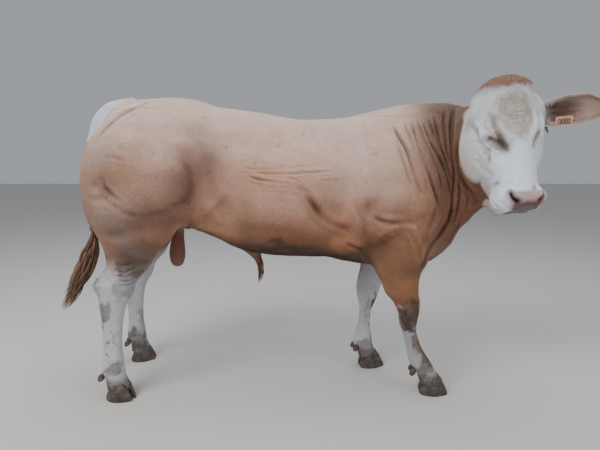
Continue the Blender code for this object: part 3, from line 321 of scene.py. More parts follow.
def head_axes():
    y, t, r = (math.radians(a) for a in (HEAD_YAW, HEAD_TILT, HEAD_ROLL))
    f, up = np.array([math.cos(y), -math.sin(y), 0.0]), np.array([0, 0, 1.0])
    side = np.cross(up, f)
    s, z = side * math.cos(r) + up * math.sin(r), up * math.cos(r) - side * math.sin(r)
    return np.array([math.sin(t) * f - math.cos(t) * z, s, math.cos(t) * f + math.sin(t) * z])


HEAD_AXES = head_axes()


def on_head(l, s, d):
    return POLL + np.array([l, s, d]) @ HEAD_AXES


HEAD = [  # l, half width, dorsal height, ventral height, exponent, taper
    (-0.035, 0.076, 0.000, 0.150, 2.0, -0.05),
    (-0.012, 0.106, 0.014, 0.185, 2.1, -0.05),
    (0.025, 0.127, 0.024, 0.225, 2.2, -0.05),
    (0.080, 0.131, 0.030, 0.262, 2.3, -0.05),
    (0.140, 0.134, 0.030, 0.285, 2.3, -0.08),
    (0.190, 0.135, 0.026, 0.297, 2.2, -0.14),
    (0.240, 0.131, 0.020, 0.300, 2.2, -0.16),
    (0.300, 0.119, 0.014, 0.280, 2.2, -0.20),
    (0.360, 0.105, 0.010, 0.240, 2.2, -0.16),
    (0.415, 0.092, 0.008, 0.200, 2.2, -0.12),
    (0.460, 0.094, 0.006, 0.192, 2.3, 0.0),
    (0.497, 0.092, -0.004, 0.182, 2.4, 0.0),
    (0.521, 0.076, -0.022, 0.160, 2.3, 0.0),
]
EYE_AT, EYE_R = (0.203, 0.118, -0.036), 0.0235
EAR_ROOT = (0.088, 0.127, -0.085)


def centred(top, bottom):
    return (top + bottom) / 2, (top - bottom) / 2


def head_blob(l, s, d, sl, ss, sd, k, turn=0.0):
    ax = HEAD_AXES
    if turn:
        c, n = math.cos(math.radians(turn)), math.sin(math.radians(turn))
        ax = np.array([c * ax[0] + n * ax[2], ax[1], -n * ax[0] + c * ax[2]])
    return Blob(on_head(l, s, d), (sl, ss, sd), ax, k)


def flesh_parts():
    up = ((0, 0, 1), (0, 1, 0), (1, 0, 0))
    rows = []
    for x, top, bottom, w, n, t in TRUNK:
        c, h = centred(top, bottom)
        rows.append((x, 0, c, w, h, h, n, t))
    out = [("trunk", Loft(rows, k=0.06))]
    for side in (-1, 1):
        back = 0.0 if side < 0 else -0.045
        out.append(("hind", Loft([(z, side * y, x + back * float(smooth(1.3, 0.9, z)), w, f, r, n, t)
                                  for z, y, x, w, f, r, n, t in HIND], axes=up, k=0.05)))
        table = FORE_NEAR if side < 0 else FORE_FAR
        out.append(("fore", Loft([(z, side * y, x, w, f, r, n, t) for z, y, x, w, f, r, n, t in table], axes=up, k=0.06)))
    out.append(("neck", Sweep(NECK, k=0.06)))
    rows = []
    for l, w, top, bottom, n, t in HEAD:
        c, h = centred(top, -bottom)
        rows.append((l, 0, c, w, h, h, n, t))
    out.append(("head", Loft(rows, POLL, HEAD_AXES, k=0.045)))
    for s in (-1, 1):
        out.append(("brow", head_blob(0.188, s * 0.093, -0.030, 0.052, 0.036, 0.040, 0.05)))
        out.append(("cheek", head_blob(0.225, s * 0.106, -0.180, 0.135, 0.056, 0.125, 0.06, 12)))
        out.append(("nostril", head_blob(0.474, s * 0.052, -0.024, 0.036, 0.036, 0.032, 0.02)))
        out.append(("lip", head_blob(0.464, s * 0.052, -0.100, 0.052, 0.050, 0.050, 0.03)))
    out.append(("ear root", head_blob(0.094, 0.120, -0.074, 0.056, 0.042, 0.046, 0.06)))
    out.append(("ear root", head_blob(0.084, -0.110, -0.085, 0.038, 0.030, 0.036, 0.04)))
    out.append(("poll", head_blob(-0.000, 0, -0.040, 0.034, 0.098, 0.055, 0.04)))
    out.append(("chin", head_blob(0.474, 0, -0.226, 0.060, 0.064, 0.054, 0.05)))
    out.append(("chin", head_blob(0.400, 0, -0.205, 0.085, 0.056, 0.050, 0.06)))
    out.append(("chin", head_blob(0.335, 0, -0.215, 0.080, 0.060, 0.050, 0.06)))
    out.append(("tail head", Sweep([
        (-0.80, 0, 1.325, 0.050, 0.045, 0.045, 2, 0), (-0.90, 0, 1.315, 0.048, 0.042, 0.042, 2, 0),
        (-0.975, 0, 1.255, 0.042, 0.036, 0.036, 2, 0), (-1.005, 0, 1.16, 0.036, 0.032, 0.032, 2, 0)], k=0.04, side=(0, 1, 0))))
    return out


def part_box(q):
    if not hasattr(q, "box"):
        v = np.array(q.rings(0.02, 24)[0])
        q.box = v.min(0) - 0.03, v.max(0) + 0.03
    return q.box


def part_field(q, p):
    """A part's field; far from its box the distance to the box is enough."""
    lo, hi = part_box(q)
    g = np.linalg.norm(np.maximum(np.maximum(lo - p, p - hi), 0), axis=1) + 0.03
    near = g < 0.05 + q.k
    if near.any():
        g[near] = q.field(p[near])
    return g


def field(parts, p):
    f = None
    for _, q in parts:
        g = part_field(q, p)
        f = g if f is None else blend(f, g, q.k)
    return f


def gradient(parts, p, e=0.002):
    g = np.empty_like(p)
    for i in range(3):
        d = np.zeros(3)
        d[i] = e
        g[:, i] = field(parts, p + d) - field(parts, p - d)
    return g / (2 * e)


def project(parts, p, steps=3, level=0.0):
    """Move points onto the surface where the field has the given level."""
    for _ in range(steps):
        f, g = field(parts, p) - level, gradient(parts, p)
        step = -(f / np.maximum((g * g).sum(1), 0.05))[:, None] * g
        ln = np.linalg.norm(step, axis=1)
        p = p + step * np.minimum(1, 0.02 / np.maximum(ln, 1e-9))[:, None]
    return p


def ray_hits(parts, pixels):
    """Where rays from the viewpoint through points of the 600 x 450 photograph meet the flesh."""
    px = np.array(pixels, float)
    ahead, up = np.array([0, math.cos(PITCH), -math.sin(PITCH)]), np.array([0, math.sin(PITCH), math.cos(PITCH)])
    d = ahead + ((px[:, :1] - 300) / FOCAL) * np.array([1, 0, 0]) - ((px[:, 1:] - 225) / FOCAL) * up
    d /= np.linalg.norm(d, axis=1)[:, None]
    t = np.full(len(d), 1.2)
    for _ in range(60):
        t += np.clip(field(parts, EYE + t[:, None] * d), -0.05, 0.08) * 0.8
    return EYE + t[:, None] * d


# feet: name, side, x and y of the foot's middle, heading off the body's axis (outward positive)
FEET = [
    ("hind_right", -1, -0.850, 0.219, 14.0, 1.0),
    ("hind_left", 1, -0.895, 0.219, 10.0, 1.0),
    ("fore_right", -1, 0.640, 0.160, 8.0, 1.04),
    ("fore_left", 1, 0.386, 0.141, 8.0, 1.04),
]
CLAW = [  # height share, back, front, outer half width, inner half width; half-length pattern
    (0.00, -0.058, 0.070, 1.00),
    (0.12, -0.060, 0.069, 1.03),
    (0.45, -0.058, 0.057, 1.00),
    (0.78, -0.050, 0.044, 0.92),
    (1.00, -0.034, 0.030, 0.74),
]


DEWCLAWS = {  # x and height of each foot's dewclaws
    "hind_right": (-0.874, 0.062), "hind_left": (-0.919, 0.062), "fore_right": (0.598, 0.066), "fore_left": (0.352, 0.066),
}


def foot_axes(side, turn):
    t = math.radians(turn)
    return np.array([[math.cos(t), side * math.sin(t), 0], [-math.sin(t), side * math.cos(t), 0], [0, 0, 1.0]])


def claw_points(side, x, y, turn, size, outer, levels, count):
    """Rings of one claw: flat sole, rounded outer wall, flat wall toward the cleft, low heel."""
    ax, table, verts = foot_axes(side, turn), Table(CLAW), []
    for h in levels:
        back, front, wide = table(h)
        for j in range(count):
            a = 2 * math.pi * j / count
            c, s = math.cos(a), math.sin(a)
            u = (front if c > 0 else -back) * math.copysign(abs(c) ** 0.85, c)
            w = (0.040 if s > 0 else 0.0085) * wide * math.copysign(abs(s) ** 0.8, s)
            toe = smooth(0.0, 0.07, u)
            w = w * (1 - 0.35 * float(toe)) if s > 0 else w * (1 - 0.25 * float(toe))
            z = h * (0.082 - 0.034 * float(smooth(0.02, -0.055, u)))
            q = np.array([u, outer * (0.0125 + w), z]) * size
            verts.append(np.array([x, side * y, SOLE]) + q @ ax)
    return verts


def dewclaw_points(side, x, y, turn, outer, z, rings, count):
    ax = foot_axes(side, turn)
    c = np.array([x, side * y, z]) + np.array([-0.052, outer * 0.026, 0]) @ ax
    tip = unit(np.array([-0.55, 0.25 * outer, -0.8]) @ ax)
    a = unit(np.cross(tip, [0, 1, 0]))
    b, verts = np.cross(tip, a), []
    table = Table([(-0.014, 0.011), (0.0, 0.015), (0.014, 0.012), (0.022, 0.006)])
    for t in np.linspace(-0.014, 0.022, rings):
        r = float(table(t)[0])
        for j in range(count):
            g = 2 * math.pi * j / count
            verts.append(c + tip * t + r * (math.cos(g) * a + math.sin(g) * b))
    return verts


EAR_LENGTH, EAR_WIDTH = 0.300, 0.134
EAR_SHAPE = Table([  # share of the length, upper and lower half width as shares of half the width
    (0.00, 0.30, 0.30), (0.06, 0.44, 0.52), (0.14, 0.58, 0.82), (0.30, 0.78, 0.98), (0.48, 0.92, 0.96),
    (0.66, 0.90, 0.84), (0.82, 0.72, 0.66), (0.93, 0.46, 0.42), (1.00, 0.09, 0.09)])


def ear_surface(root, along, opening, thick, nu=9, nv=6, upper=1, wide=1.0):
    """A cupped leaf: rolled into a funnel at its root, flat and rounded at its tip."""
    e = unit(along)
    n = unit(np.array(opening, float) - np.dot(opening, e) * e)
    s = np.cross(e, n) * upper
    front, back = [], []
    for i in range(nu + 1):
        u = i / nu
        high, low = EAR_SHAPE(u) * EAR_WIDTH / 2 * wide
        arc = math.radians(104 - 66 * u**0.6)
        c = np.array(root) + e * EAR_LENGTH * u + n * (0.014 * math.sin(math.pi * u)) - s * 0.010 * u * u
        th = thick * (1.15 - 0.65 * u)
        for j in range(nv + 1):
            v = 2 * j / nv - 1
            half = high if v > 0 else low
            r = half / math.sin(min(arc, 1.5)) if arc < 1.5 else half
            g = arc * v
            t = th * (1 - 0.55 * v * v)
            for ring, rr in ((front, r - t / 2), (back, r + t / 2)):
                rr = max(rr, 0.001)
                ring.append(c + s * rr * math.sin(g) + n * 0.8 * (r - rr * math.cos(g)))
    return np.array(front), np.array(back)


LEFT_EAR = dict(root=on_head(0.101, 0.118, -0.082), along=(0.93, -0.10, 0.082), opening=(0.0, -1.0, -0.10), upper=-1)
RIGHT_EAR = dict(root=on_head(0.056, -0.076, -0.134), along=(0.58, 0.76, 0.22), opening=(-0.90, 0.45, -0.15), upper=-1, wide=0.85)


def ear_frame(pose):
    """Along the ear, out of its opening, and up."""
    e = unit(pose["along"])
    n = unit(np.array(pose["opening"], float) - np.dot(pose["opening"], e) * e)
    up = np.cross(n, e)
    return e, n, up if up[2] > 0 else -up


TAG_AT = tuple(np.array(LEFT_EAR["root"]) + np.array([0.1125, 0.0440, -0.0475]) @ np.array(ear_frame(LEFT_EAR)))
TAG_HALF = (0.0350, 0.0205)


TAIL = [  # x, y, z, half width, up, down, exponent, taper
    (-1.005, 0, 1.165, 0.033, 0.030, 0.030, 2, 0),
    (-1.020, 0, 1.06, 0.028, 0.024, 0.024, 2, 0),
    (-1.030, 0, 0.94, 0.024, 0.021, 0.021, 2, 0),
    (-1.030, 0, 0.82, 0.022, 0.020, 0.020, 2, 0),
    (-1.030, 0, 0.73, 0.024, 0.024, 0.024, 2, 0),
]
SWITCH = [
    (-1.030, 0, 0.73, 0.024, 0.024, 0.024, 2, 0),
    (-1.034, 0, 0.677, 0.026, 0.030, 0.030, 2, 0),
    (-1.066, 0, 0.574, 0.034, 0.043, 0.043, 2, 0),
    (-1.104, 0, 0.512, 0.036, 0.045, 0.045, 2, 0),
    (-1.134, 0, 0.460, 0.032, 0.038, 0.038, 2, 0),
    (-1.158, 0, 0.403, 0.026, 0.031, 0.031, 2, 0),
    (-1.198, 0, 0.339, 0.018, 0.022, 0.022, 2, 0),
    (-1.222, 0, 0.306, 0.007, 0.008, 0.008, 2, 0),
]
SCROTUM = [
    (-0.600, 0, 0.775, 0.028, 0.030, 0.030, 2, 0), (-0.608, 0, 0.715, 0.030, 0.031, 0.031, 2, 0),
    (-0.614, 0, 0.660, 0.041, 0.038, 0.038, 2, 0), (-0.617, 0, 0.605, 0.047, 0.043, 0.043, 2, 0),
    (-0.618, 0, 0.568, 0.040, 0.037, 0.037, 2, 0), (-0.618, 0, 0.548, 0.025, 0.024, 0.024, 2, 0),
    (-0.618, 0, 0.541, 0.009, 0.009, 0.009, 2, 0),
]
SHEATH = [
    (-0.290, 0, 0.700, 0.038, 0.030, 0.038, 2, 0), (-0.250, 0, 0.640, 0.034, 0.034, 0.034, 2, 0),
    (-0.216, 0, 0.592, 0.023, 0.025, 0.025, 2, 0), (-0.201, 0, 0.550, 0.014, 0.016, 0.016, 2, 0),
    (-0.198, 0, 0.510, 0.010, 0.012, 0.012, 2, 0), (-0.206, 0, 0.474, 0.007, 0.009, 0.009, 2, 0),
    (-0.216, 0, 0.446, 0.003, 0.003, 0.003, 2, 0),
]


def rings_mesh(verts, rings, count):
    faces = []
    for i in range(rings - 1):
        for j in range(count):
            a, b = i * count + j, i * count + (j + 1) % count
            faces.append((a, b, b + count, a + count))
    faces.append(tuple(range(count))[::-1])
    faces.append(tuple(range((rings - 1) * count, rings * count)))
    return faces


def seed_mesh(parts, step=0.02, count=32):
    verts, faces = [], []
    for _, q in parts:
        v, n = q.rings(step, count)
        o = len(verts)
        verts += [tuple(x) for x in v]
        faces += [tuple(i + o for i in f) for f in rings_mesh(v, n, count)]
    me = bpy.data.meshes.new("seed")
    me.from_pydata(verts, [], faces)
    return me


def relief(p, n):
    """Bulges and hollows of the muscles, as a height along the surface's own direction."""
    h = np.zeros(len(p))
    for c, r, amount in BULGES:
        for side in (-1, 1):
            q = (p - np.array(c) * [1, side, 1]) / r
            h += amount * np.exp(-(q * q).sum(1))
    return h


# photo-side bulges and hollows of both flanks: centre (y outward), reach, height
BULGES = [
    ((-0.60, 0.28, 0.99), (0.120, 0.14, 0.110), 0.034),    # the great muscle of the thigh
    ((-0.68, 0.28, 0.90), (0.09, 0.12, 0.06), 0.010),
    ((-0.82, 0.28, 0.84), (0.090, 0.12, 0.060), 0.022),    # the one behind and below it
    ((-0.885, 0.26, 0.955), (0.024, 0.10, 0.024), -0.014),
    ((-0.86, 0.26, 0.90), (0.040, 0.10, 0.018), -0.007),
    ((-0.82, 0.26, 1.12), (0.12, 0.12, 0.10), 0.014),
    ((-0.55, 0.28, 0.865), (0.060, 0.12, 0.030), -0.018),  # groove under it, falling backwards
    ((-0.63, 0.28, 0.815), (0.070, 0.12, 0.030), -0.022),
    ((-0.71, 0.28, 0.760), (0.070, 0.12, 0.030), -0.020),
    ((-0.80, 0.28, 0.735), (0.060, 0.12, 0.026), -0.012),
    ((-0.478, 0.24, 1.09), (0.045, 0.12, 0.060), -0.016),
    ((-0.440, 0.24, 0.995), (0.045, 0.12, 0.090), -0.030), # the hollow before the thigh
    ((-0.365, 0.24, 1.03), (0.05, 0.12, 0.08), -0.010),
    ((-0.350, 0.24, 0.925), (0.030, 0.12, 0.034), 0.012),  # fold of skin from stifle to flank
    ((-0.415, 0.24, 0.855), (0.030, 0.12, 0.034), 0.014),
    ((-0.480, 0.22, 0.785), (0.034, 0.12, 0.032), 0.014),
    ((-0.290, 0.24, 0.86), (0.045, 0.12, 0.070), -0.012),
    ((-0.45, 0.22, 1.25), (0.07, 0.10, 0.050), 0.012),     # point of the hip
    ((-0.52, 0.24, 1.18), (0.09, 0.12, 0.040), -0.010),
    ((-0.10, 0.25, 0.90), (0.20, 0.14, 0.12), 0.016),      # barrel
    ((-0.22, 0.24, 1.14), (0.16, 0.12, 0.050), -0.008),
    ((0.02, 0.27, 0.93), (0.07, 0.12, 0.05), 0.008),
    ((0.15, 0.27, 0.83), (0.080, 0.12, 0.060), -0.018),    # behind the shoulder
    ((0.22, 0.27, 0.93), (0.040, 0.12, 0.09), -0.012),
    ((0.36, 0.27, 1.03), (0.09, 0.12, 0.13), 0.018),       # shoulder blade and its muscles
    ((0.315, 0.27, 0.865), (0.030, 0.12, 0.040), -0.018),
    ((0.40, 0.27, 0.835), (0.055, 0.12, 0.018), -0.012),
    ((0.42, 0.27, 0.90), (0.060, 0.12, 0.045), 0.012),
    ((0.38, 0.27, 0.765), (0.050, 0.12, 0.050), 0.014),    # fan of muscle over the forearm
    ((0.46, 0.27, 0.80), (0.030, 0.12, 0.060), -0.008),
    ((0.54, 0.26, 0.74), (0.035, 0.12, 0.075), 0.016),
    ((0.57, 0.24, 0.85), (0.050, 0.12, 0.060), 0.012),     # point of the shoulder
    ((0.52, 0.26, 1.06), (0.05, 0.12, 0.13), -0.006),
    ((0.20, 0.20, 0.66), (0.07, 0.10, 0.035), 0.014),
    ((0.31, 0.22, 0.66), (0.04, 0.10, 0.040), -0.014),
    ((0.46, 0.24, 0.60), (0.07, 0.08, 0.06), 0.006),
    ((-0.80, 0.24, 0.66), (0.05, 0.08, 0.07), 0.006),
]


# ------------------------------------------------------------------ helpers
DEPTH = 0.0045        # working metres from the coat's tips down to the skin
RNG = np.random.default_rng(7)


def real(p):
    return (np.asarray(p, float) - [CENTRE[0], CENTRE[1], SOLE]) * SIZE


def link(me, name):
    ob = bpy.data.objects.new(name, me)
    bpy.context.scene.collection.objects.link(ob)
    return ob


def coords(me):
    v = np.empty(len(me.vertices) * 3)
    me.vertices.foreach_get("co", v)
    return v.reshape(-1, 3)


def normals(me):
    n = np.empty(len(me.vertices) * 3)
    me.vertices.foreach_get("normal", n)
    return n.reshape(-1, 3)


def set_coords(me, v):
    me.vertices.foreach_set("co", np.ascontiguousarray(v, float).ravel())
    me.update()


def srgb(r, g, b):
    c = np.array([r, g, b], float) / 255
    return np.where(c <= 0.04045, c / 12.92, ((c + 0.055) / 1.055) ** 2.4)


def hash01(i, j, k, seed):
    h = (i * 374761393 + j * 668265263 + k * 2147483647 + seed * 1274126177) & 0xFFFFFFFF
    h = ((h ^ (h >> 13)) * 1274126177) & 0xFFFFFFFF
    h = ((h ^ (h >> 16)) * 2246822519) & 0xFFFFFFFF
    return (h ^ (h >> 15)) / 4294967295.0


def noise(p, size, seed=0):
    """Smooth value noise between 0 and 1 with features of the given size."""
    q = np.asarray(p, float) / size + 1000.0
    i = np.floor(q).astype(np.int64)
    f = q - i
    f = f * f * (3 - 2 * f)
    out = 0.0
    for a in (0, 1):
        for b in (0, 1):
            for c in (0, 1):
                w = (f[:, 0] if a else 1 - f[:, 0]) * (f[:, 1] if b else 1 - f[:, 1]) * (f[:, 2] if c else 1 - f[:, 2])
                out = out + w * hash01(i[:, 0] + a, i[:, 1] + b, i[:, 2] + c, seed)
    return out


def fractal(p, size, seed=0, octaves=3):
    total, amp, norm = 0.0, 1.0, 0.0
    for o in range(octaves):
        total = total + amp * noise(p, size / 2**o, seed + 17 * o)
        norm += amp
        amp *= 0.55
    return total / norm


def line_distance(p, line):
    """Distance to a polyline and how far along it, 0 to 1."""
    line = np.array(line, float)
    best = np.full(len(p), 1e9)
    along = np.zeros(len(p))
    for i in range(len(line) - 1):
        a, ab = line[i], line[i + 1] - line[i]
        f = np.clip((p - a) @ ab / max(ab @ ab, 1e-12), 0, 1)
        d = np.linalg.norm(p - a - f[:, None] * ab, axis=1)
        m = d < best
        best[m] = d[m]
        along[m] = (i + f[m]) / (len(line) - 1)
    return best, along


def soften(points, n=24):
    """A smooth line through a few points."""
    pts = np.array(points, float)
    if len(pts) < 3:
        t = np.linspace(0, 1, n)[:, None]
        return pts[0] * (1 - t) + pts[-1] * t
    t = np.concatenate([[0], np.cumsum(np.linalg.norm(np.diff(pts, axis=0), axis=1))])
    return Table(np.column_stack([t, pts]))(np.linspace(0, t[-1], n))


# ------------------------------------------------------------------ creases measured on the photograph
# each: points in the 600 x 450 frame, depth, half width (working metres), far side too
CREASES = [
    ([(391.7, 123.3), (400, 138), (408.3, 153.3), (413, 168), (416.7, 180), (423.3, 198.3)], 0.0125, 0.0075, False),
    ([(395, 142), (402, 158), (407, 172), (413, 190)], 0.0045, 0.0055, False),
    ([(402, 119), (411, 138), (418, 156), (424, 174), (429, 196)], 0.0065, 0.0058, False),
    ([(410, 116.7), (415, 132), (420, 148.3), (425, 162), (430, 175), (436.7, 198.3), (440, 212)], 0.0120, 0.0070, False),
    ([(416, 117), (424, 137), (432, 155), (439, 172), (444, 196)], 0.0075, 0.0058, False),
    ([(421.7, 120), (431.7, 143.3), (441.7, 161.7), (448.3, 180), (451.7, 201.7)], 0.0125, 0.0072, False),
    ([(427, 117), (435, 136), (442, 152), (449, 170)], 0.0065, 0.0052, False),
    ([(433, 115), (437, 130), (441, 145), (448, 168), (452.5, 188)], 0.0120, 0.0065, False),
    ([(444, 109), (444, 126), (446, 146), (450, 166)], 0.0085, 0.0060, False),
    ([(455, 105), (452, 118), (451, 134), (451.7, 151.7), (454, 178), (452.5, 201.7), (450, 218), (440, 236.7), (430, 252)], 0.0130, 0.0075, False),
    ([(464, 114), (459.5, 132), (456.5, 150), (457.5, 168), (462, 181), (469, 191), (478, 200)], 0.0130, 0.0080, False),
    ([(456.7, 178), (459.5, 190), (459, 203), (456.7, 215), (450, 228)], 0.0095, 0.0060, False),
    ([(462, 176), (466.7, 190), (467.5, 204), (464, 216)], 0.0060, 0.0060, False),
    ([(468, 190), (474, 198), (478, 206)], 0.0050, 0.0065, False),
    ([(447, 222), (437, 238), (428, 250), (424, 262)], 0.0060, 0.010, False),
    ([(461, 222), (452, 236), (446, 246)], 0.0045, 0.009, False),
    ([(436, 205), (432, 218), (426, 232), (423, 246)], 0.0045, 0.010, False),
    ([(366, 200), (371, 211), (378, 219), (390, 222.5), (403, 223.5), (415, 222)], 0.0065, 0.0120, True),
    ([(405, 227), (412, 236), (418, 248), (420, 262)], 0.0035, 0.012, True),
    ([(379, 228), (385, 236), (394, 240)], 0.0025, 0.008, True),
    ([(352, 198), (358, 210), (364, 224), (366, 240)], 0.0040, 0.014, True),
    ([(299, 190), (307, 197), (314, 206), (322, 217), (335, 226), (352, 231)], 0.0100, 0.012, True),
    ([(246, 176), (262, 180.5), (285, 184), (300, 187), (316, 189)], 0.0105, 0.0056, True),
    ([(250, 172.5), (275, 174), (292, 174), (310, 172.5), (334, 171)], 0.0032, 0.0052, True),
    ([(286, 177), (298, 181.5), (310, 191)], 0.0060, 0.0052, True),
    ([(258, 187), (283, 190), (300, 194), (311, 200)], 0.0062, 0.0052, True),
    ([(240, 168.5), (260, 169.5), (284, 169)], 0.0014, 0.006, True),
    ([(268, 165.5), (290, 167), (314, 166)], 0.0012, 0.006, True),
    ([(262, 194), (283, 197), (301, 202)], 0.0024, 0.0055, True),
    ([(318, 181), (334, 180), (350, 177)], 0.0020, 0.0060, True),
    ([(112, 270), (124, 272), (135, 269)], 0.0040, 0.0050, True),
    ([(114, 275), (125, 277), (137, 273)], 0.0040, 0.0045, True),
    ([(116, 280), (127, 281.5), (139, 277)], 0.0036, 0.0045, True),
    ([(113, 264), (124, 265), (136, 262)], 0.0022, 0.0055, True),
    ([(174, 158), (184, 164), (190.5, 174), (192, 184), (188, 196), (178, 207), (162, 213), (146, 215)], 0.0040, 0.020, True),
    ([(112, 202), (124, 212), (138, 216)], 0.0040, 0.012, True),
    ([(103, 183), (105, 188), (110, 193), (122, 203)], 0.0050, 0.008, True),
    ([(111, 155), (118, 159), (126, 161)], 0.0030, 0.008, True),
    ([(152, 99), (136, 106), (118, 117), (104, 131), (95, 148)], 0.0060, 0.014, True),
    ([(224, 193), (212, 206), (198, 220), (184, 230)], -0.0050, 0.014, True),
    ([(345, 243), (360, 250), (372, 258)], 0.0050, 0.009, True),
]


# broad soft forms of the muscles: points in the frame, half width, tone painted on the coat there (painted shade in
# folds and hollows, painted highlights and sheen on ridges and bulges), height
FORMS = [
    ([(300, 191), (308, 197), (315, 207), (322, 217), (333, 224), (347, 229)], 0.020, (0.76, 0.70, 0.66), -0.005),
    ([(318, 212), (330, 218), (345, 224)], 0.045, (0.86, 0.80, 0.76), 0),
    ([(224, 192), (216, 200), (213, 210), (218, 222)], 0.014, (1.12, 1.12, 1.12), 0.003),
    ([(203, 229), (220, 231), (236, 237)], 0.026, (1.32, 1.34, 1.36), 0),
    ([(226, 205), (233, 214), (242, 224)], 0.034, (0.80, 0.76, 0.72), 0),
    ([(248, 226), (268, 228), (290, 229)], 0.028, (0.86, 0.82, 0.80), 0),
    ([(262, 200), (280, 206), (298, 212)], 0.050, (1.05, 1.06, 1.08), 0),
    ([(258, 185), (280, 188), (300, 191.5)], 0.006, (1.10, 1.12, 1.14), 0.001),
    ([(369, 208), (371, 211)], 0.018, (0.74, 0.68, 0.64), -0.003),
    ([(371, 215), (380, 220), (392, 223)], 0.010, (0.74, 0.68, 0.64), 0),
    ([(396, 219), (410, 218), (424, 216)], 0.026, (0.78, 0.72, 0.69), 0),
    ([(372, 247), (378, 237), (388, 229), (400, 225.5), (414, 228)], 0.012, (1.34, 1.36, 1.40), 0.004),
    ([(383, 244), (390, 238), (400, 234)], 0.026, (0.76, 0.71, 0.68), -0.002),
    ([(413, 233), (417, 246), (418, 260)], 0.020, (1.34, 1.36, 1.40), 0.002),
    ([(395, 255), (400, 268), (402, 285)], 0.040, (1.04, 1.08, 1.12), 0),
    ([(423, 243), (423.5, 250), (423, 260)], 0.006, (1.35, 1.35, 1.35), 0.002),
    ([(427, 233), (433, 228), (439, 218)], 0.018, (1.30, 1.32, 1.34), 0.002),
    ([(452, 212), (447, 225), (440, 236), (432, 247), (427, 258), (423, 267)], 0.014, (0.50, 0.45, 0.42), -0.007),
    ([(460, 230), (453, 243), (443, 252)], 0.012, (1.28, 1.26, 1.24), 0),
    ([(336, 243), (347, 240), (358, 244)], 0.030, (1.75, 1.85, 2.00), 0.002),
    ([(361, 252), (367, 259), (373, 266)], 0.018, (0.62, 0.56, 0.52), -0.003),
    ([(381, 270), (385, 284), (388, 296)], 0.008, (1.18, 1.18, 1.18), 0),
    ([(112, 111), (124, 107), (139, 103.5)], 0.020, (1.10, 1.22, 1.36), 0),
    ([(97, 138), (110, 123), (135, 113)], 0.012, (1.08, 1.10, 1.12), 0.003),
    ([(101, 180), (104, 188), (109, 194)], 0.016, (0.64, 0.59, 0.56), -0.005),
    ([(106, 172), (112, 182)], 0.030, (0.88, 0.84, 0.80), 0),
    ([(112, 235), (130, 237), (153, 237)], 0.026, (0.80, 0.80, 0.84), 0),
    ([(126, 261), (134, 270), (137, 284)], 0.036, (0.70, 0.68, 0.66), 0),
    ([(108, 157), (120, 160)], 0.010, (0.82, 0.78, 0.76), -0.002),
    ([(150, 172), (162, 168), (175, 170)], 0.040, (1.10, 1.11, 1.13), 0.003),
    ([(166, 142), (180, 150), (190, 165), (193, 185), (188, 200), (175, 211), (158, 217)], 0.026, (0.95, 0.92, 0.91), -0.001),
    ([(142, 222), (158, 225), (174, 222)], 0.028, (0.84, 0.82, 0.82), -0.002),
    ([(104, 212), (116, 217), (130, 222)], 0.030, (1.14, 1.16, 1.18), 0.003),
    ([(176, 231), (187, 227), (197, 228)], 0.028, (1.38, 1.42, 1.46), 0.002),
    ([(118, 240), (132, 250), (146, 256)], 0.040, (0.96, 1.06, 1.22), 0),
    ([(118, 170), (132, 176)], 0.035, (1.04, 1.00, 0.92), 0),
    ([(128, 130), (140, 128), (152, 130)], 0.030, (0.94, 0.93, 0.93), 0),
    ([(425, 111), (440, 109.5), (455, 110)], 0.030, (0.84, 0.84, 0.86), 0),
]


def crease_height(p, lines, ridge_share=0.42):
    h = np.zeros(len(p))
    dark = np.zeros(len(p))
    for line, depth, wide in lines:
        lo, hi = line.min(0) - 0.06, line.max(0) + 0.06
        m = ((p > lo) & (p < hi)).all(1)
        if not m.any():
            continue
        d, t = line_distance(p[m], line)
        ends = smooth(0.0, 0.18, t) * smooth(1.0, 0.82, t)
        g = np.exp(-(d / wide) ** 2)
        ridge = np.exp(-((d - 2.1 * wide) / (1.2 * wide)) ** 2)
        h[m] += depth * ends * (-g + ridge_share * ridge)
        # how strongly the crease's hollow gets painted shade
        dark[m] = np.maximum(dark[m], ends * np.exp(-(d / (0.95 * wide)) ** 2) * min(1.0, abs(depth) / 0.008) * (depth > 0))
    return h, dark


FACE = [  # points in the frame, depth, half width, how dark: the visible half, mirrored to the other
    ([(490, 113), (493.5, 121), (498, 131), (502, 140), (506.5, 148)], 0.0170, 0.0118, 0.80),
    ([(499, 134), (502.5, 141), (506.5, 149)], 0.0050, 0.0090, 0.75),
    ([(499, 182), (493, 187), (490.5, 194), (492, 203), (499, 209)], 0.0095, 0.0065, 0.45),
    ([(500, 181), (507, 184), (516, 186)], 0.0014, 0.0050, 0.0),
    ([(497, 186), (504, 189), (509, 190)], 0.0014, 0.0045, 0.0),
    ([(474, 141), (480, 147), (484, 156)], 0.0024, 0.0070, 0.20),
    ([(474, 152), (479, 158), (484, 164)], 0.0020, 0.0070, 0.18),
    ([(487, 151), (484, 158), (486, 167)], 0.0024, 0.0070, 0.22),
    ([(476, 158), (483, 170), (493, 178)], 0.0040, 0.0120, 0.16),
    ([(504, 108), (512, 105), (521, 105)], 0.0014, 0.0045, 0.15),
    ([(505, 114), (514, 112), (524, 112)], 0.0014, 0.0045, 0.12),
    ([(506, 121), (514, 119), (524, 119)], 0.0012, 0.0045, 0.10),
]
FACE_SHUT = [  # the shut eye: its slit, the folds of its lid, the skin under it
    ([(487, 137), (492, 139.5), (497, 142), (502, 145), (507.5, 150)], 0.0070, 0.0085, 1.0),
    ([(487, 138), (493, 141), (499.5, 144.5), (506, 149.5)], 0.0080, 0.0180, 0.85),
    ([(498, 141), (502, 144.5), (506, 149.5)], 0.0030, 0.0100, 0.95),
    ([(483, 128), (489, 131.5), (495, 135.5)], 0.0022, 0.0050, 0.20),
    ([(482, 120), (488, 124), (494, 130)], 0.0016, 0.0050, 0.12),
    ([(485, 144), (491, 147), (498, 150), (504, 153)], 0.0022, 0.0060, 0.20),
]


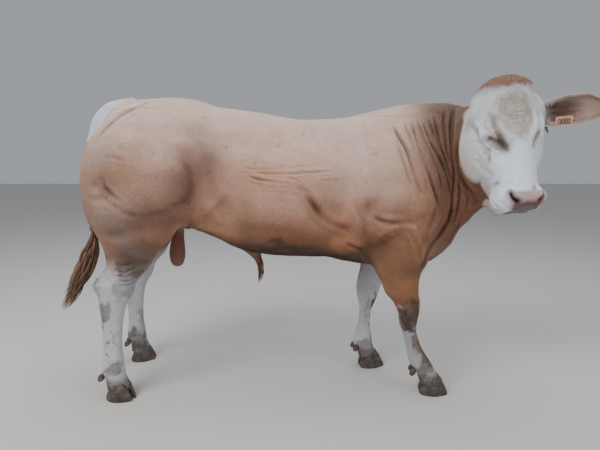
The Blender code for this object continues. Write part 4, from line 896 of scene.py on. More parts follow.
def head_coords(p):
    return (p - POLL) @ HEAD_AXES.T


def head_line(points):
    return soften([on_head(*q) for q in points], 20)


# ------------------------------------------------------------------ the skin
def refine(me, pick):
    """Split the faces that pick() chooses once, in the mesh's own place."""
    bm = bmesh.new()
    bm.from_mesh(me)
    bm.faces.ensure_lookup_table()
    mid = np.array([f.calc_center_median() for f in bm.faces])
    chosen = pick(mid)
    faces = [f for f, c in zip(bm.faces, chosen) if c]
    edges = list({e for f in faces for e in f.edges})
    bmesh.ops.subdivide_edges(bm, edges=edges, cuts=1, use_grid_fill=True)
    bm.to_mesh(me)
    bm.free()
    me.update()


def build_skin():
    parts = flesh_parts()
    parts.append(("tail", Sweep([(x, y, z, w - DEPTH * 0.4, u - DEPTH * 0.4, d - DEPTH * 0.4, n, t)
                                 for x, y, z, w, u, d, n, t in TAIL], k=0.03, side=(0, 1, 0))))
    parts.append(("scrotum", Sweep(SCROTUM, k=0.025, side=(0, 1, 0))))
    parts.append(("sheath", Sweep(SHEATH[:4], k=0.03, side=(0, 1, 0))))
    ob = link(seed_mesh(parts, 0.015, 40), "skin")
    m = ob.modifiers.new("remesh", "REMESH")
    m.mode, m.voxel_size, m.adaptivity = "VOXEL", (0.0085), 0
    dg = bpy.context.evaluated_depsgraph_get()
    me = bpy.data.meshes.new_from_object(ob.evaluated_get(dg))
    ob.modifiers.clear()
    ob.data = me
    set_coords(me, project(parts, coords(me), 3, -DEPTH))

    def detailed(c):
        q = head_coords(c)
        head = (np.abs(q[:, 1]) < 0.2) & (q[:, 0] > -0.08) & (q[:, 0] < 0.6) & (q[:, 2] < 0.1) & (q[:, 2] > -0.34) & (c[:, 1] < -0.16)
        neck = (c[:, 0] > 0.34) & (c[:, 2] > 0.70) & (c[:, 1] < 0.02)
        flank = (c[:, 0] > -0.30) & (c[:, 0] < 0.12) & (c[:, 2] > 0.90) & (c[:, 2] < 1.08)
        legs = c[:, 2] < 0.50
        return head | neck | legs | (flank)
    refine(me, detailed)
    set_coords(me, project(parts, coords(me), 1, -DEPTH))

    def very_detailed(c):
        q = head_coords(c)
        face = (q[:, 0] > 0.12) & (q[:, 0] < 0.6) & (q[:, 2] > -0.24) & (c[:, 1] < -0.2) & (np.abs(q[:, 1]) < 0.2)
        eye = (q[:, 0] > 0.15) & (q[:, 0] < 0.32) & (np.abs(q[:, 1]) > 0.04) & (q[:, 2] > -0.11)
        nose = q[:, 0] > 0.42
        return face & (eye | nose)
    refine(me, very_detailed)
    set_coords(me, project(parts, coords(me), 1, -DEPTH))
    return ob, parts


def eye_frame(s):
    """Centre of an eye and its outward, upward and sideways directions in the working frame."""
    l, a, d = EYE_AT
    c = on_head(l, s * a, d)
    out = unit(np.array([0.02, s * 0.80, 0.60]) @ HEAD_AXES)
    up = np.array([-1.0, 0, 0.12]) @ HEAD_AXES
    up = unit(up - (up @ out) * out)
    return c, out, up, np.cross(up, out)


def sculpt(ob, parts):
    """Muscle relief, creases and the face's features, moved along the skin's own direction."""
    me = ob.data
    p, n = coords(me), normals(me)
    p = p + n * relief(p, n)[:, None]
    flat = p.copy()
    forms, lines = [], []
    for px, depth, wide, both in CREASES:
        line = soften(ray_hits(parts, px), 24)
        lines.append((line, depth, wide))
        if both:
            lines.append((line * [1, -1, 1], depth, wide))
    h, dark = crease_height(p, lines)
    for px, wide, tone, height in FORMS:
        line = soften(ray_hits(parts, px), 24)
        for s in (1, -1):
            side = line * [1, s, 1]
            m = ((p > side.min(0) - 3 * wide) & (p < side.max(0) + 3 * wide)).all(1)
            if not m.any():
                continue
            d, _ = line_distance(p[m], side)
            g = np.exp(-(d / wide) ** 2)
            h[m] += height * g
            forms.append((m, g, tone))
    # broad soft unevenness of a living body
    h += (fractal(p, 0.16, 3, 2) - 0.5) * 0.006 + (fractal(p, 0.05, 5, 2) - 0.5) * 0.0016
    q = head_coords(p)
    in_head = (q[:, 0] > -0.06) & (q[:, 0] < 0.60) & (np.abs(q[:, 1]) < 0.22) & (q[:, 2] < 0.12) & (q[:, 2] > -0.36) & (p[:, 1] < -0.14)
    face, marks = [], []
    for px, depth, wide, tone in FACE:
        hit = (ray_hits(parts, px) - POLL) @ HEAD_AXES.T
        for s in (1, -1):
            line = soften([on_head(a, s * b, c) for a, b, c in hit], 24)
            far = 0.35 if s < 0 and depth > 0.015 else 1.0
            face.append((line, depth * far, wide))
            marks.append((line, wide * 1.25, tone * far))
    for px, depth, wide, tone in FACE_SHUT:
        line = soften(ray_hits(parts, px), 24)
        face.append((line, depth, wide))
        marks.append((line, wide * 1.1, tone))
    for s in (-1, 1):
        face += [
            (head_line([(0.335, s * 0.097, -0.02), (0.39, s * 0.090, -0.05), (0.42, s * 0.087, -0.10)]), 0.003, 0.012),
            (head_line([(0.425, s * 0.090, -0.135), (0.450, s * 0.094, -0.142), (0.485, s * 0.088, -0.140), (0.508, s * 0.055, -0.132), (0.516, 0, -0.128)]), 0.0090, 0.0055),
        ]
    h2, dark2 = crease_height(p, face, 0.45)
    h2[~in_head] = 0
    dark2[~in_head] = 0
    h += h2
    dark = np.maximum(dark, dark2 * 0.8)
    p = p + n * h[:, None]

    # nostrils: comma-shaped pits, deepest at the lower end
    q = head_coords(p)
    pit, rims = np.zeros(len(p)), np.zeros(len(p))
    hit = (ray_hits(parts, [(510.5, 191.5), (512, 195), (515, 199), (519, 202)]) - POLL) @ HEAD_AXES.T
    for s in (1, -1):
        line = soften(hit * [1, s, 1] - [0.0, -0.009 * (s < 0), 0.002 + 0.004 * (s < 0)], 16)
        d, t = line_distance(q, line)
        near = np.exp(-(d / (0.0075 + 0.0055 * t)) ** 2)
        rim = np.exp(-((d - 0.0155) / 0.006) ** 2)
        m = in_head & (d < 0.05)
        pit[m] = np.maximum(pit[m], near[m] * (1.0 if s > 0 else 0.6))
        rims[m] = np.maximum(rims[m], np.exp(-(d[m] / 0.016) ** 2))
        near = near * (1.0 if s > 0 else 0.65)
        move = -0.022 * near + 0.0035 * rim
        p[m] += (n * move[:, None])[m]
    # the middle groove of the pad
    pad = in_head & (q[:, 0] > 0.43) & (q[:, 2] > -0.12)
    lump = -0.0025 * np.exp(-(q[:, 1] / 0.006) ** 2) * smooth(0.45, 0.48, q[:, 0])
    p[pad] += (n * lump[:, None])[pad]

    # eyes: both sockets are shaped round their balls; the right one is shut
    shut = np.zeros(len(p))
    for s in (-1, 1):
        c, out, up, side = eye_frame(s)
        d = p - c
        r = np.linalg.norm(d, axis=1)
        x, y, z = d @ side, d @ up, d @ out
        m = in_head & (r < 0.075) & (z > -0.01)
        if s > 0:
            # the skin sinks under the lid pieces that frame the open eye
            w = smooth(0.046, 0.026, np.hypot(x, y))
            target = EYE_R * 0.80
            new = np.where(r > 1e-6, target / np.maximum(r, 1e-6), 1)
            moved = c + d * new[:, None]
            p[m] = p[m] * (1 - w[m])[:, None] + moved[m] * w[m][:, None]
        else:
            # a lid drawn over the ball, with its slit low and folds above it
            bulge = EYE_R + 0.0065
            w = smooth(0.046, 0.018, np.hypot(x * 0.85, y)) * 0.65
            d2 = d + out * 0.007
            moved = c - out * 0.007 + d2 * (bulge / np.maximum(np.linalg.norm(d2, axis=1), 1e-6))[:, None]
            p[m] = p[m] * (1 - w[m])[:, None] + moved[m] * w[m][:, None]
    return p, dark, pit, rims, in_head, marks, flat, forms


# ------------------------------------------------------------------ colours
TAN_PALE, TAN, TAN_DEEP = srgb(205, 178, 166), srgb(184, 140, 116), srgb(158, 108, 78)
WHITE, CREAM, POLL_BROWN = srgb(223, 225, 231), srgb(205, 186, 168), srgb(156, 112, 86)
DIRT, MUD, PINK, PINK_BROWN = srgb(96, 78, 66), srgb(74, 56, 44), srgb(196, 162, 160), srgb(104, 72, 62)
SWITCH_BROWN, SKIN_RED, EAR_PINK = srgb(108, 78, 62), srgb(121, 80, 69), srgb(200, 168, 158)


def mix(a, b, t):
    t = np.clip(t, 0, 1)[:, None]
    return a * (1 - t) + b * t


def ball_mask(p, centre, reach, seed=0, rough=0.35):
    """A soft patch with an uneven edge."""
    d = np.linalg.norm((p - np.array(centre)) / np.array(reach), axis=1)
    d = d + (fractal(p, 0.035, seed, 3) - 0.5) * rough * 2
    return smooth(1.15, 0.75, d)


def named_part(parts, name):
    return next(q for a, q in parts if a == name)


def markings(p, n, parts):
    """The coat's colour at points of the skin, from what the animal's regions look like, with painted shade and painted
    sheen mixed in.
    """
    q = head_coords(p)
    head_f = np.full(len(p), 9.0)
    for name, b in parts:
        if name in ("head", "cheek", "brow", "chin", "poll", "lip", "nostril", "ear root"):
            head_f = np.minimum(head_f, part_field(b, p))
    f1, f2 = fractal(p, 0.10, 11, 3), fractal(p, 0.022, 12, 3)
    z, x, y = p[:, 2], p[:, 0], p[:, 1]
    # top to belly: painted shade darkening toward the belly, painted sheen paler toward the top where light hair ends
    # catch the sky
    col = mix(np.tile(TAN_DEEP, (len(p), 1)), TAN, smooth(0.62, 0.98, z + (f1 - 0.5) * 0.22))
    col = mix(col, TAN_PALE, smooth(0.98, 1.27, z + (f1 - 0.5) * 0.16) * 0.9)
    # neck and brisket are a warmer, darker tan; flank and quarter a little greyer
    neck = smooth(0.40, 0.62, x) * smooth(0.50, 0.62, z)
    col = mix(col, TAN_DEEP * 0.92, neck * 0.62)
    # painted sheen: the top of the rump paler where it faces the light
    rump = smooth(-0.86, -1.0, x) * smooth(1.10, 1.28, z)
    col = mix(col, TAN_PALE * 1.02, rump * 0.8)
    # soft grey dapples on the shoulder
    for c, r in (((0.03, 0.2, 1.20), 0.060), ((0.25, 0.2, 1.205), 0.040), ((0.275, 0.24, 1.12), 0.050), ((0.10, 0.26, 1.12), 0.04)):
        for s in (-1, 1):
            col = mix(col, TAN_PALE * 0.74, ball_mask(p, (c[0], s * c[1], c[2]), (r, 0.16, r), 31, 0.3) * 0.45)
    # paler, cooler upper shoulder and ribs (painted sheen); greyer, darker quarters; brown neck, arm and belly; among
    # the tints, painted shade in hollows and painted highlights on bulges
    warp = np.column_stack([fractal(p, 0.12, 91 + k, 3) - 0.5 for k in range(3)]) * 0.10
    wp = p + warp
    wy = np.abs(wp[:, 1])
    def spot(x0, z0, rx, rz):
        return np.exp(-((wp[:, 0] - x0) / rx) ** 2 - ((wp[:, 2] - z0) / rz) ** 2)
    # painted sheen: paler, cooler upper shoulder and ribs
    col = mix(col, TAN_PALE * 0.98, np.clip(spot(0.30, 1.10, 0.26, 0.17) * 0.75 + spot(-0.10, 1.12, 0.26, 0.12) * 0.45, 0, 1))
    col = mix(col, srgb(170, 130, 104), np.clip(spot(0.02, 0.90, 0.16, 0.08) * 0.5 + spot(-0.22, 0.86, 0.10, 0.10) * 0.35, 0, 1))
    TINTS = [
        (spot(-0.72, 0.98, 0.26, 0.17), (0.80, 0.82, 0.86)),
        (spot(-0.86, 0.98, 0.12, 0.20), (0.86, 0.90, 0.90)),
        (spot(-0.80, 0.80, 0.17, 0.11), (0.87, 0.99, 1.13)),
        # painted shade in the groove under the thigh
        (spot(-0.60, 0.80, 0.15, 0.07), (0.66, 0.66, 0.68)),
        (spot(-0.78, 0.62, 0.13, 0.095), (0.44, 0.56, 0.84)),
        # painted highlight on the thigh's great bulge
        (spot(-0.57, 0.97, 0.09, 0.09), (1.13, 1.18, 1.24)),
        # painted shade in the hollow before the thigh
        (spot(-0.45, 1.02, 0.06, 0.12), (0.84, 0.84, 0.85)),
        (smooth(0.99, 0.90, z) * smooth(0.72, 0.80, z) * smooth(0.48, 0.38, x) * smooth(-0.42, -0.30, x), (1.08, 1.14, 1.24)),
        (spot(0.38, 0.66, 0.12, 0.12), (1.24, 1.34, 1.46)),
        (spot(-0.05, 1.10, 0.22, 0.10), (1.08, 1.04, 1.04)),
        (spot(0.40, 1.20, 0.10, 0.08), (0.96, 0.90, 0.87)),
        (spot(0.54, 0.24, 0.12, 0.16) * (y < 0), (0.90, 0.86, 0.82)),
        # painted highlights at the point of the shoulder and the forearm's lit edge
        (spot(0.60, 0.68, 0.09, 0.10), (1.50, 1.60, 1.62)),
        (spot(0.555, 0.665, 0.022, 0.06), (1.25, 1.25, 1.25)),
        (smooth(0.55, 0.62, x) * smooth(1.18, 1.24, z), (0.84, 0.88, 0.90)),
        # painted shade in the hollows before the thigh, on the flank, behind the shoulder and behind the elbow
        (spot(-0.42, 1.02, 0.075, 0.12), (0.62, 0.60, 0.60)),
        (spot(-0.50, 0.92, 0.050, 0.10), (0.66, 0.64, 0.64)),
        (spot(-0.24, 0.84, 0.07, 0.10), (0.86, 0.82, 0.80)),
        (spot(0.12, 0.86, 0.12, 0.07), (0.88, 0.84, 0.82)),
        (spot(0.31, 0.86, 0.05, 0.05), (0.66, 0.62, 0.60)),
        (spot(0.42, 0.64, 0.12, 0.16), (0.64, 0.62, 0.60)),
        # painted shade behind the elbow and along the lower barrel
        (spot(0.33, 0.70, 0.07, 0.07), (0.62, 0.58, 0.55)),
        (smooth(0.86, 0.70, z) * smooth(-0.42, -0.25, x) * smooth(0.42, 0.26, x), (0.68, 0.64, 0.62)),
        ((smooth(0.47, 0.66, wp[:, 0]) * smooth(0.06, -0.06, y) + 0.8 * smooth(0.36, 0.90, wp[:, 0] + 0.2 * (f1 - 0.5)) * smooth(-0.06, 0.06, y)) * smooth(0.60, 0.75, z) * (1 - 0.3 * smooth(0.98, 0.82, z)), (0.47, 0.43, 0.40)),
        (smooth(0.42, 0.55, x) * smooth(0.82, 0.68, z) * smooth(0.50, 0.56, z), (0.66, 0.68, 0.70)),
        # painted sheen: bluish and paler behind the thighs toward the tail head
        (smooth(-0.78, -0.90, x) * smooth(0.14, 0.07, np.abs(y)) * smooth(0.85, 1.0, z), (1.04, 1.18, 1.36)),
    ]
    for w, tone in TINTS:
        w = np.clip(w, 0, 1)[:, None]
        col = col * (1 - w + w * np.array(tone))
    # mottling: greyish and warm patches a few centimetres wide, drawn out along the hair
    streak = fractal(p * [0.55, 1, 1.4], 0.045, 95, 3) - 0.5
    cloud = fractal(p * [0.8, 1, 1.1], 0.085, 96, 3) - 0.5
    col = col * (1 + 0.18 * cloud + 0.17 * streak)[:, None] * np.column_stack([1 + 0 * x, 1 - 0.05 * cloud, 1 - 0.12 * cloud])
    # small dark specks
    for i, (sx, sz) in enumerate(((-0.425, 1.262), (-0.325, 1.13), (-0.20, 1.055), (-0.10, 1.135), (0.015, 1.19), (0.16, 0.98), (0.145, 0.895), (-0.62, 1.10), (0.33, 1.10), (-0.50, 0.88), (0.48, 0.72), (-0.12, 0.79))):
        for s in (-1, 1):
            d = np.hypot(x - sx - (0.013 * i if s > 0 else 0), z - sz)
            col = mix(col, MUD, np.exp(-(d / 0.0048) ** 2) * (y * s > 0.1) * 0.8)
    # inner sides of the limbs and the groin are pale
    inner = np.where(x < 0, smooth(0.13, 0.05, np.abs(y)) * smooth(0.95, 0.80, z), 0)
    col = mix(col, CREAM, inner * 0.45)
    # belly's lower edge is dirty
    belly = smooth(-0.45, -0.80, n[:, 2]) * smooth(-0.38, -0.20, x) * smooth(0.50, 0.30, x) * smooth(0.80, 0.66, z)
    col = mix(col, MUD, belly * (0.35 + 0.75 * f2) * 0.9)
    # white lower legs
    fore_near = (x > 0.1) & (y < 0)
    fore_far = (x > 0.1) & (y > 0)
    hind = x < -0.3
    wob = (f1 - 0.5) * 0.10 + (f2 - 0.5) * 0.04
    cloud_leg = fractal(p * [1, 1, 0.5], 0.03, 97, 3)
    white = np.zeros(len(p))
    white = np.where(fore_near, smooth(0.41, 0.33, z + wob), white)
    white = np.where(fore_far, smooth(0.52, 0.36, z + wob - 0.10 * smooth(0.0, -0.8, n[:, 1])), white)
    white = np.where(hind, smooth(0.64, 0.50, z + wob), white)
    col = mix(col, WHITE * (0.80 - 0.14 * cloud_leg)[:, None], white)
    # darker patches low on the near fore leg; a bluish paler painted sheen behind the thighs; a bluish paler patch low
    # on the quarter
    for w, tone in ((spot(0.52, 0.34, 0.10, 0.10) * (y < 0), (0.60, 0.56, 0.50)), (spot(0.60, 0.18, 0.12, 0.11) * (y < 0), (0.62, 0.58, 0.54)),
                    (smooth(-0.80, -0.92, x) * smooth(0.16, 0.08, np.abs(y)) * smooth(0.95, 1.1, z), (1.03, 1.24, 1.50)),
                    (spot(-0.86, 0.82, 0.14, 0.12), (1.02, 1.12, 1.24))):
        w = np.clip(w, 0, 1)[:, None]
        col = col * (1 - w + w * np.array(tone))
    # dried dirt on the legs
    patches = [
        ((0.52, -0.18, 0.345), (0.060, 0.08, 0.085), 1.0, MUD), ((0.575, -0.16, 0.22), (0.035, 0.07, 0.10), 0.75, DIRT),
        ((0.61, -0.16, 0.10), (0.05, 0.08, 0.07), 0.75, DIRT), ((0.40, 0.14, 0.22), (0.022, 0.06, 0.20), 0.85, MUD),
        ((0.565, -0.12, 0.26), (0.022, 0.05, 0.14), 0.8, MUD), ((0.585, -0.19, 0.20), (0.020, 0.05, 0.10), 0.7, DIRT),
        ((0.63, -0.16, 0.12), (0.04, 0.06, 0.05), 0.8, MUD), ((0.36, 0.14, 0.30), (0.02, 0.06, 0.12), 0.35, DIRT),
        ((-0.90, -0.25, 0.345), (0.012, 0.03, 0.016), 0.8, MUD), ((-0.865, -0.25, 0.29), (0.010, 0.03, 0.012), 0.6, MUD),
        ((-0.89, -0.25, 0.17), (0.016, 0.03, 0.012), 0.7, MUD), ((-0.86, -0.25, 0.24), (0.010, 0.03, 0.03), 0.4, DIRT),
        ((-0.80, -0.24, 0.50), (0.05, 0.06, 0.06), 0.45, DIRT), ((-0.93, -0.24, 0.46), (0.02, 0.05, 0.05), 0.4, DIRT),
        ((0.35, 0.14, 0.07), (0.06, 0.08, 0.05), 0.6, DIRT), ((-0.915, -0.245, 0.385), (0.045, 0.04, 0.050), 0.75, DIRT),
        ((-0.925, -0.245, 0.31), (0.020, 0.03, 0.020), 0.8, MUD), ((-0.90, -0.25, 0.22), (0.02, 0.03, 0.012), 0.7, MUD),
        ((-0.87, -0.25, 0.11), (0.045, 0.04, 0.035), 0.75, DIRT), ((-0.83, -0.25, 0.14), (0.02, 0.03, 0.02), 0.5, DIRT),
        ((-0.94, -0.22, 0.52), (0.03, 0.06, 0.02), 0.6, DIRT), ((-0.76, -0.24, 0.60), (0.075, 0.06, 0.055), 0.75, DIRT),
        ((-0.70, -0.23, 0.68), (0.08, 0.06, 0.05), 0.5, DIRT), ((-0.92, 0.20, 0.09), (0.06, 0.08, 0.06), 0.8, MUD),
        ((-0.88, 0.20, 0.20), (0.03, 0.06, 0.06), 0.4, DIRT), ((-0.80, 0.24, 0.60), (0.075, 0.06, 0.055), 0.55, DIRT),
        ((0.50, 0.19, 0.40), (0.05, 0.05, 0.06), 0.3, DIRT), ((-0.93, -0.21, 0.05), (0.05, 0.08, 0.04), 0.7, MUD),
        ((-0.20, 0.0, 0.60), (0.16, 0.14, 0.05), 0.8, MUD), ((0.20, -0.05, 0.57), (0.22, 0.16, 0.05), 0.6, MUD),
        ((-0.10, -0.22, 0.705), (0.05, 0.10, 0.014), 0.85, MUD), ((-0.06, -0.20, 0.675), (0.08, 0.10, 0.020), 0.9, MUD),
        ((-0.14, -0.20, 0.665), (0.05, 0.10, 0.012), 0.8, MUD), ((0.00, -0.20, 0.665), (0.06, 0.10, 0.012), 0.7, MUD),
        ((-0.06, 0.20, 0.685), (0.08, 0.10, 0.020), 0.6, MUD), ((0.28, -0.18, 0.63), (0.05, 0.10, 0.02), 0.6, DIRT),
    ]
    torn = p + np.column_stack([fractal(p, 0.030, 61 + k, 3) - 0.5 for k in range(3)]) * [0.05, 0.03, 0.07]
    for i, (c, r, k, tone) in enumerate(patches):
        col = mix(col, tone, ball_mask(torn, c, r, 50 + i) * k * (0.55 + 0.7 * f2))
    low = smooth(0.085, 0.02, z) * (x < 2)
    col = mix(col, DIRT, low * 0.55)
    for name, tone, k in (("scrotum", SKIN_RED, 0.95), ("tail", TAN * 0.86, 0.8), ("sheath", TAN_DEEP * 0.72, 0.9)):
        f = part_field(named_part(parts, name), p)
        low = 1.0 if name != "sheath" else smooth(0.66, 0.60, z)
        if name == "scrotum":
            low = smooth(0.76, 0.71, z)
        if name == "tail":
            tone, low = mix(np.tile(TAN_PALE, (len(p), 1)), SWITCH_BROWN, smooth(1.05, 0.78, z)), smooth(1.20, 1.10, z)
        col = mix(col, tone, smooth(0.012, 0.0, f + (f2 - 0.5) * 0.01) * low * k)
    # head: white, with a brown cap over the poll and a cream forehead
    on = smooth(0.024, 0.012, head_f + (f2 - 0.5) * 0.004) * smooth(-0.085, -0.135, y + (f1 - 0.5) * 0.10 + (f2 - 0.5) * 0.05 - 0.10 * (z - 1.15))
    edge = q[:, 0] - 0.015 + 0.006 * smooth(0.04, 0.12, np.abs(q[:, 1])) + (f2 - 0.5) * 0.012
    behind = smooth(-0.16, -0.20, q[:, 2]) * smooth(0.16, 0.10, q[:, 0])
    cap = 1 - smooth(-0.004, 0.012, edge)
    taper = 1.10 - 0.45 * smooth(0.12, 0.26, q[:, 0])
    blaze = ball_mask(q / np.column_stack([np.ones(len(q)), taper, np.ones(len(q))]), (0.138, -0.008, 0.02), (0.104, 0.072, 0.08), 71, 0.30)
    fine = fractal(q * [1.6, 0.7, 1.0], 0.012, 98, 2) - 0.5
    face = mix(np.tile(WHITE, (len(p), 1)), srgb(184, 171, 160), np.clip(blaze * (0.85 + 0.6 * (f2 - 0.5) + 0.9 * fine), 0, 1))
    face = mix(face, WHITE * 0.86, smooth(-0.05, -0.16, q[:, 2]) * 0.5)
    face = mix(face, CREAM, smooth(-0.12, -0.22, q[:, 2]) * 0.35)
    # painted cool highlight along the bridge of the nose
    bridge = smooth(0.22, 0.30, q[:, 0]) * smooth(0.115, 0.085, np.abs(q[:, 1])) * smooth(-0.08, -0.04, q[:, 2])
    face = face * (1 + bridge[:, None] * np.array([0.09, 0.17, 0.28]))
    face = mix(face, POLL_BROWN, np.maximum(cap, behind) * 0.95)
    col = mix(col, face, on)
    # muzzle: pink pad, brown-shaded lip
    pad = smooth(0.440, 0.458, q[:, 0] + (f2 - 0.5) * 0.01) * smooth(-0.110, -0.080, q[:, 2]) * smooth(0.074, 0.062, np.abs(q[:, 1])) * smooth(0.520, 0.500, q[:, 0] - 0.25 * np.minimum(q[:, 2] + 0.06, 0)) * on
    col = mix(col, PINK * 0.86, pad * 0.85)
    lip = smooth(0.478, 0.505, q[:, 0] + (f2 - 0.5) * 0.01) * smooth(-0.155, -0.115, q[:, 2]) * smooth(0.066, 0.048, np.abs(q[:, 1])) * on
    col = mix(col, srgb(168, 134, 118), pad * smooth(-0.02, 0.05, q[:, 1]) * smooth(0.458, 0.485, q[:, 0]) * 0.55)
    col = mix(col, PINK_BROWN * [0.64, 0.50, 0.40], lip * 0.88)
    # the throat and the jaw's lower edge are tan, the chin cream
    jaw = smooth(-0.165, -0.205, q[:, 2]) * smooth(0.20, 0.30, q[:, 0]) * smooth(0.47, 0.43, q[:, 0]) * on
    col = mix(col, TAN, jaw * 0.55)
    chin = smooth(-0.165, -0.185, q[:, 2]) * smooth(0.43, 0.46, q[:, 0]) * on
    col = mix(col, CREAM * 0.9, chin * 0.7)
    side = smooth(0.105, 0.140, np.abs(q[:, 1])) * smooth(-0.06, -0.16, q[:, 2]) * smooth(0.40, 0.30, q[:, 0]) * on
    col = mix(col, CREAM * 0.92, side * 0.45)
    mole = np.exp(-(np.linalg.norm(q - np.array([0.438, 0.031, 0.004]), axis=1) / 0.0105) ** 2)
    col = mix(col, srgb(84, 84, 92), mole)
    return col * (0.94 + 0.12 * f2)[:, None], on


def paint(me, name, col):
    a = me.color_attributes.new(name=name, type="FLOAT_COLOR", domain="POINT")
    data = np.ones((len(me.vertices), 4), np.float32)
    data[:, :3] = np.clip(col, 0, 1)
    a.data.foreach_set("color", data.ravel())
    me.color_attributes.active_color = a


def new_material(name):
    m = bpy.data.materials.new(name)
    m.use_nodes = True
    nt = m.node_tree
    return m, nt, nt.nodes["Principled BSDF"]


def node(nt, kind, **inputs):
    n = nt.nodes.new(kind)
    for k, v in inputs.items():
        if k in n.inputs:
            n.inputs[k].default_value = v
        else:
            setattr(n, k, v)
    return n


def coat_material(name, rough=0.78, fine=900.0, strength=0.35, vary=0.16, sheen=0.12):
    m, nt, b = new_material(name)
    at = nt.nodes.new("ShaderNodeVertexColor")
    at.layer_name = "Coat"
    tc = nt.nodes.new("ShaderNodeTexCoord")
    n1 = node(nt, "ShaderNodeTexNoise")
    n1.inputs["Scale"].default_value = 140.0
    n1.inputs["Detail"].default_value = 5.0
    n1.inputs["Roughness"].default_value = 0.65
    n2 = node(nt, "ShaderNodeTexNoise")
    n2.inputs["Scale"].default_value = fine
    n2.inputs["Detail"].default_value = 3.0
    mp = nt.nodes.new("ShaderNodeMapping")
    mp.inputs["Scale"].default_value = (0.45, 1.0, 0.8)
    nt.links.new(tc.outputs["Object"], mp.inputs["Vector"])
    nt.links.new(tc.outputs["Object"], n1.inputs["Vector"])
    nt.links.new(mp.outputs["Vector"], n2.inputs["Vector"])
    mr = nt.nodes.new("ShaderNodeMapRange")
    mr.inputs["From Min"].default_value, mr.inputs["From Max"].default_value = 0.3, 0.7
    mr.inputs["To Min"].default_value, mr.inputs["To Max"].default_value = 1.0 - vary, 1.0 + vary
    nt.links.new(n1.outputs["Fac"], mr.inputs["Value"])
    mul = nt.nodes.new("ShaderNodeVectorMath")
    mul.operation = "SCALE"
    nt.links.new(at.outputs["Color"], mul.inputs[0])
    nt.links.new(mr.outputs["Result"], mul.inputs["Scale"])
    nt.links.new(mul.outputs["Vector"], b.inputs["Base Color"])
    add = nt.nodes.new("ShaderNodeMath")
    add.operation = "MULTIPLY_ADD"
    nt.links.new(n1.outputs["Fac"], add.inputs[0])
    add.inputs[1].default_value = 0.6
    nt.links.new(n2.outputs["Fac"], add.inputs[2])
    bump = nt.nodes.new("ShaderNodeBump")
    bump.inputs["Strength"].default_value = strength
    bump.inputs["Distance"].default_value = 0.0012
    nt.links.new(add.outputs["Value"], bump.inputs["Height"])
    nt.links.new(bump.outputs["Normal"], b.inputs["Normal"])
    b.inputs["Roughness"].default_value = rough
    b.inputs["Specular IOR Level"].default_value = 0.25
    b.inputs["Sheen Weight"].default_value = sheen
    b.inputs["Sheen Roughness"].default_value = 0.5
    return m


# ------------------------------------------------------------------ mesh building from arrays
def fast_mesh(name, verts, faces):
    """A mesh from arrays: verts (n, 3), faces (m, 3 or 4)."""
    me = bpy.data.meshes.new(name)
    verts, faces = np.asarray(verts, np.float32), np.asarray(faces, np.int32)
    me.vertices.add(len(verts))
    me.vertices.foreach_set("co", verts.ravel())
    k = faces.shape[1]
    me.loops.add(faces.size)
    me.loops.foreach_set("vertex_index", faces.ravel())
    me.polygons.add(len(faces))
    me.polygons.foreach_set("loop_start", np.arange(0, faces.size, k, dtype=np.int32))
    me.update(calc_edges=True)
    me.validate()
    return me


def grid_faces(rows, cols, closed):
    out = []
    for i in range(rows - 1):
        for j in range(cols if closed else cols - 1):
            a, b = i * cols + j, i * cols + (j + 1) % cols
            out.append((a, b, b + cols, a + cols))
    return out


def arrays_of(me):
    """Vertices and triangles of a mesh."""
    me.calc_loop_triangles()
    t = np.empty(len(me.loop_triangles) * 3, np.int32)
    me.loop_triangles.foreach_get("vertices", t)
    return coords(me), t.reshape(-1, 3)


def piece(me, name, slot, *nodes):
    ob = link(me, name)
    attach(ob, "root")
    if nodes:
        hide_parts(*nodes)
    return ob


def join_into(ob, extra):
    """Add meshes with a Coat attribute to an object's own mesh."""
    bm = bmesh.new()
    bm.from_mesh(ob.data)
    for me in extra:
        bm.from_mesh(me)
    bm.to_mesh(ob.data)
    bm.free()
    ob.data.update()


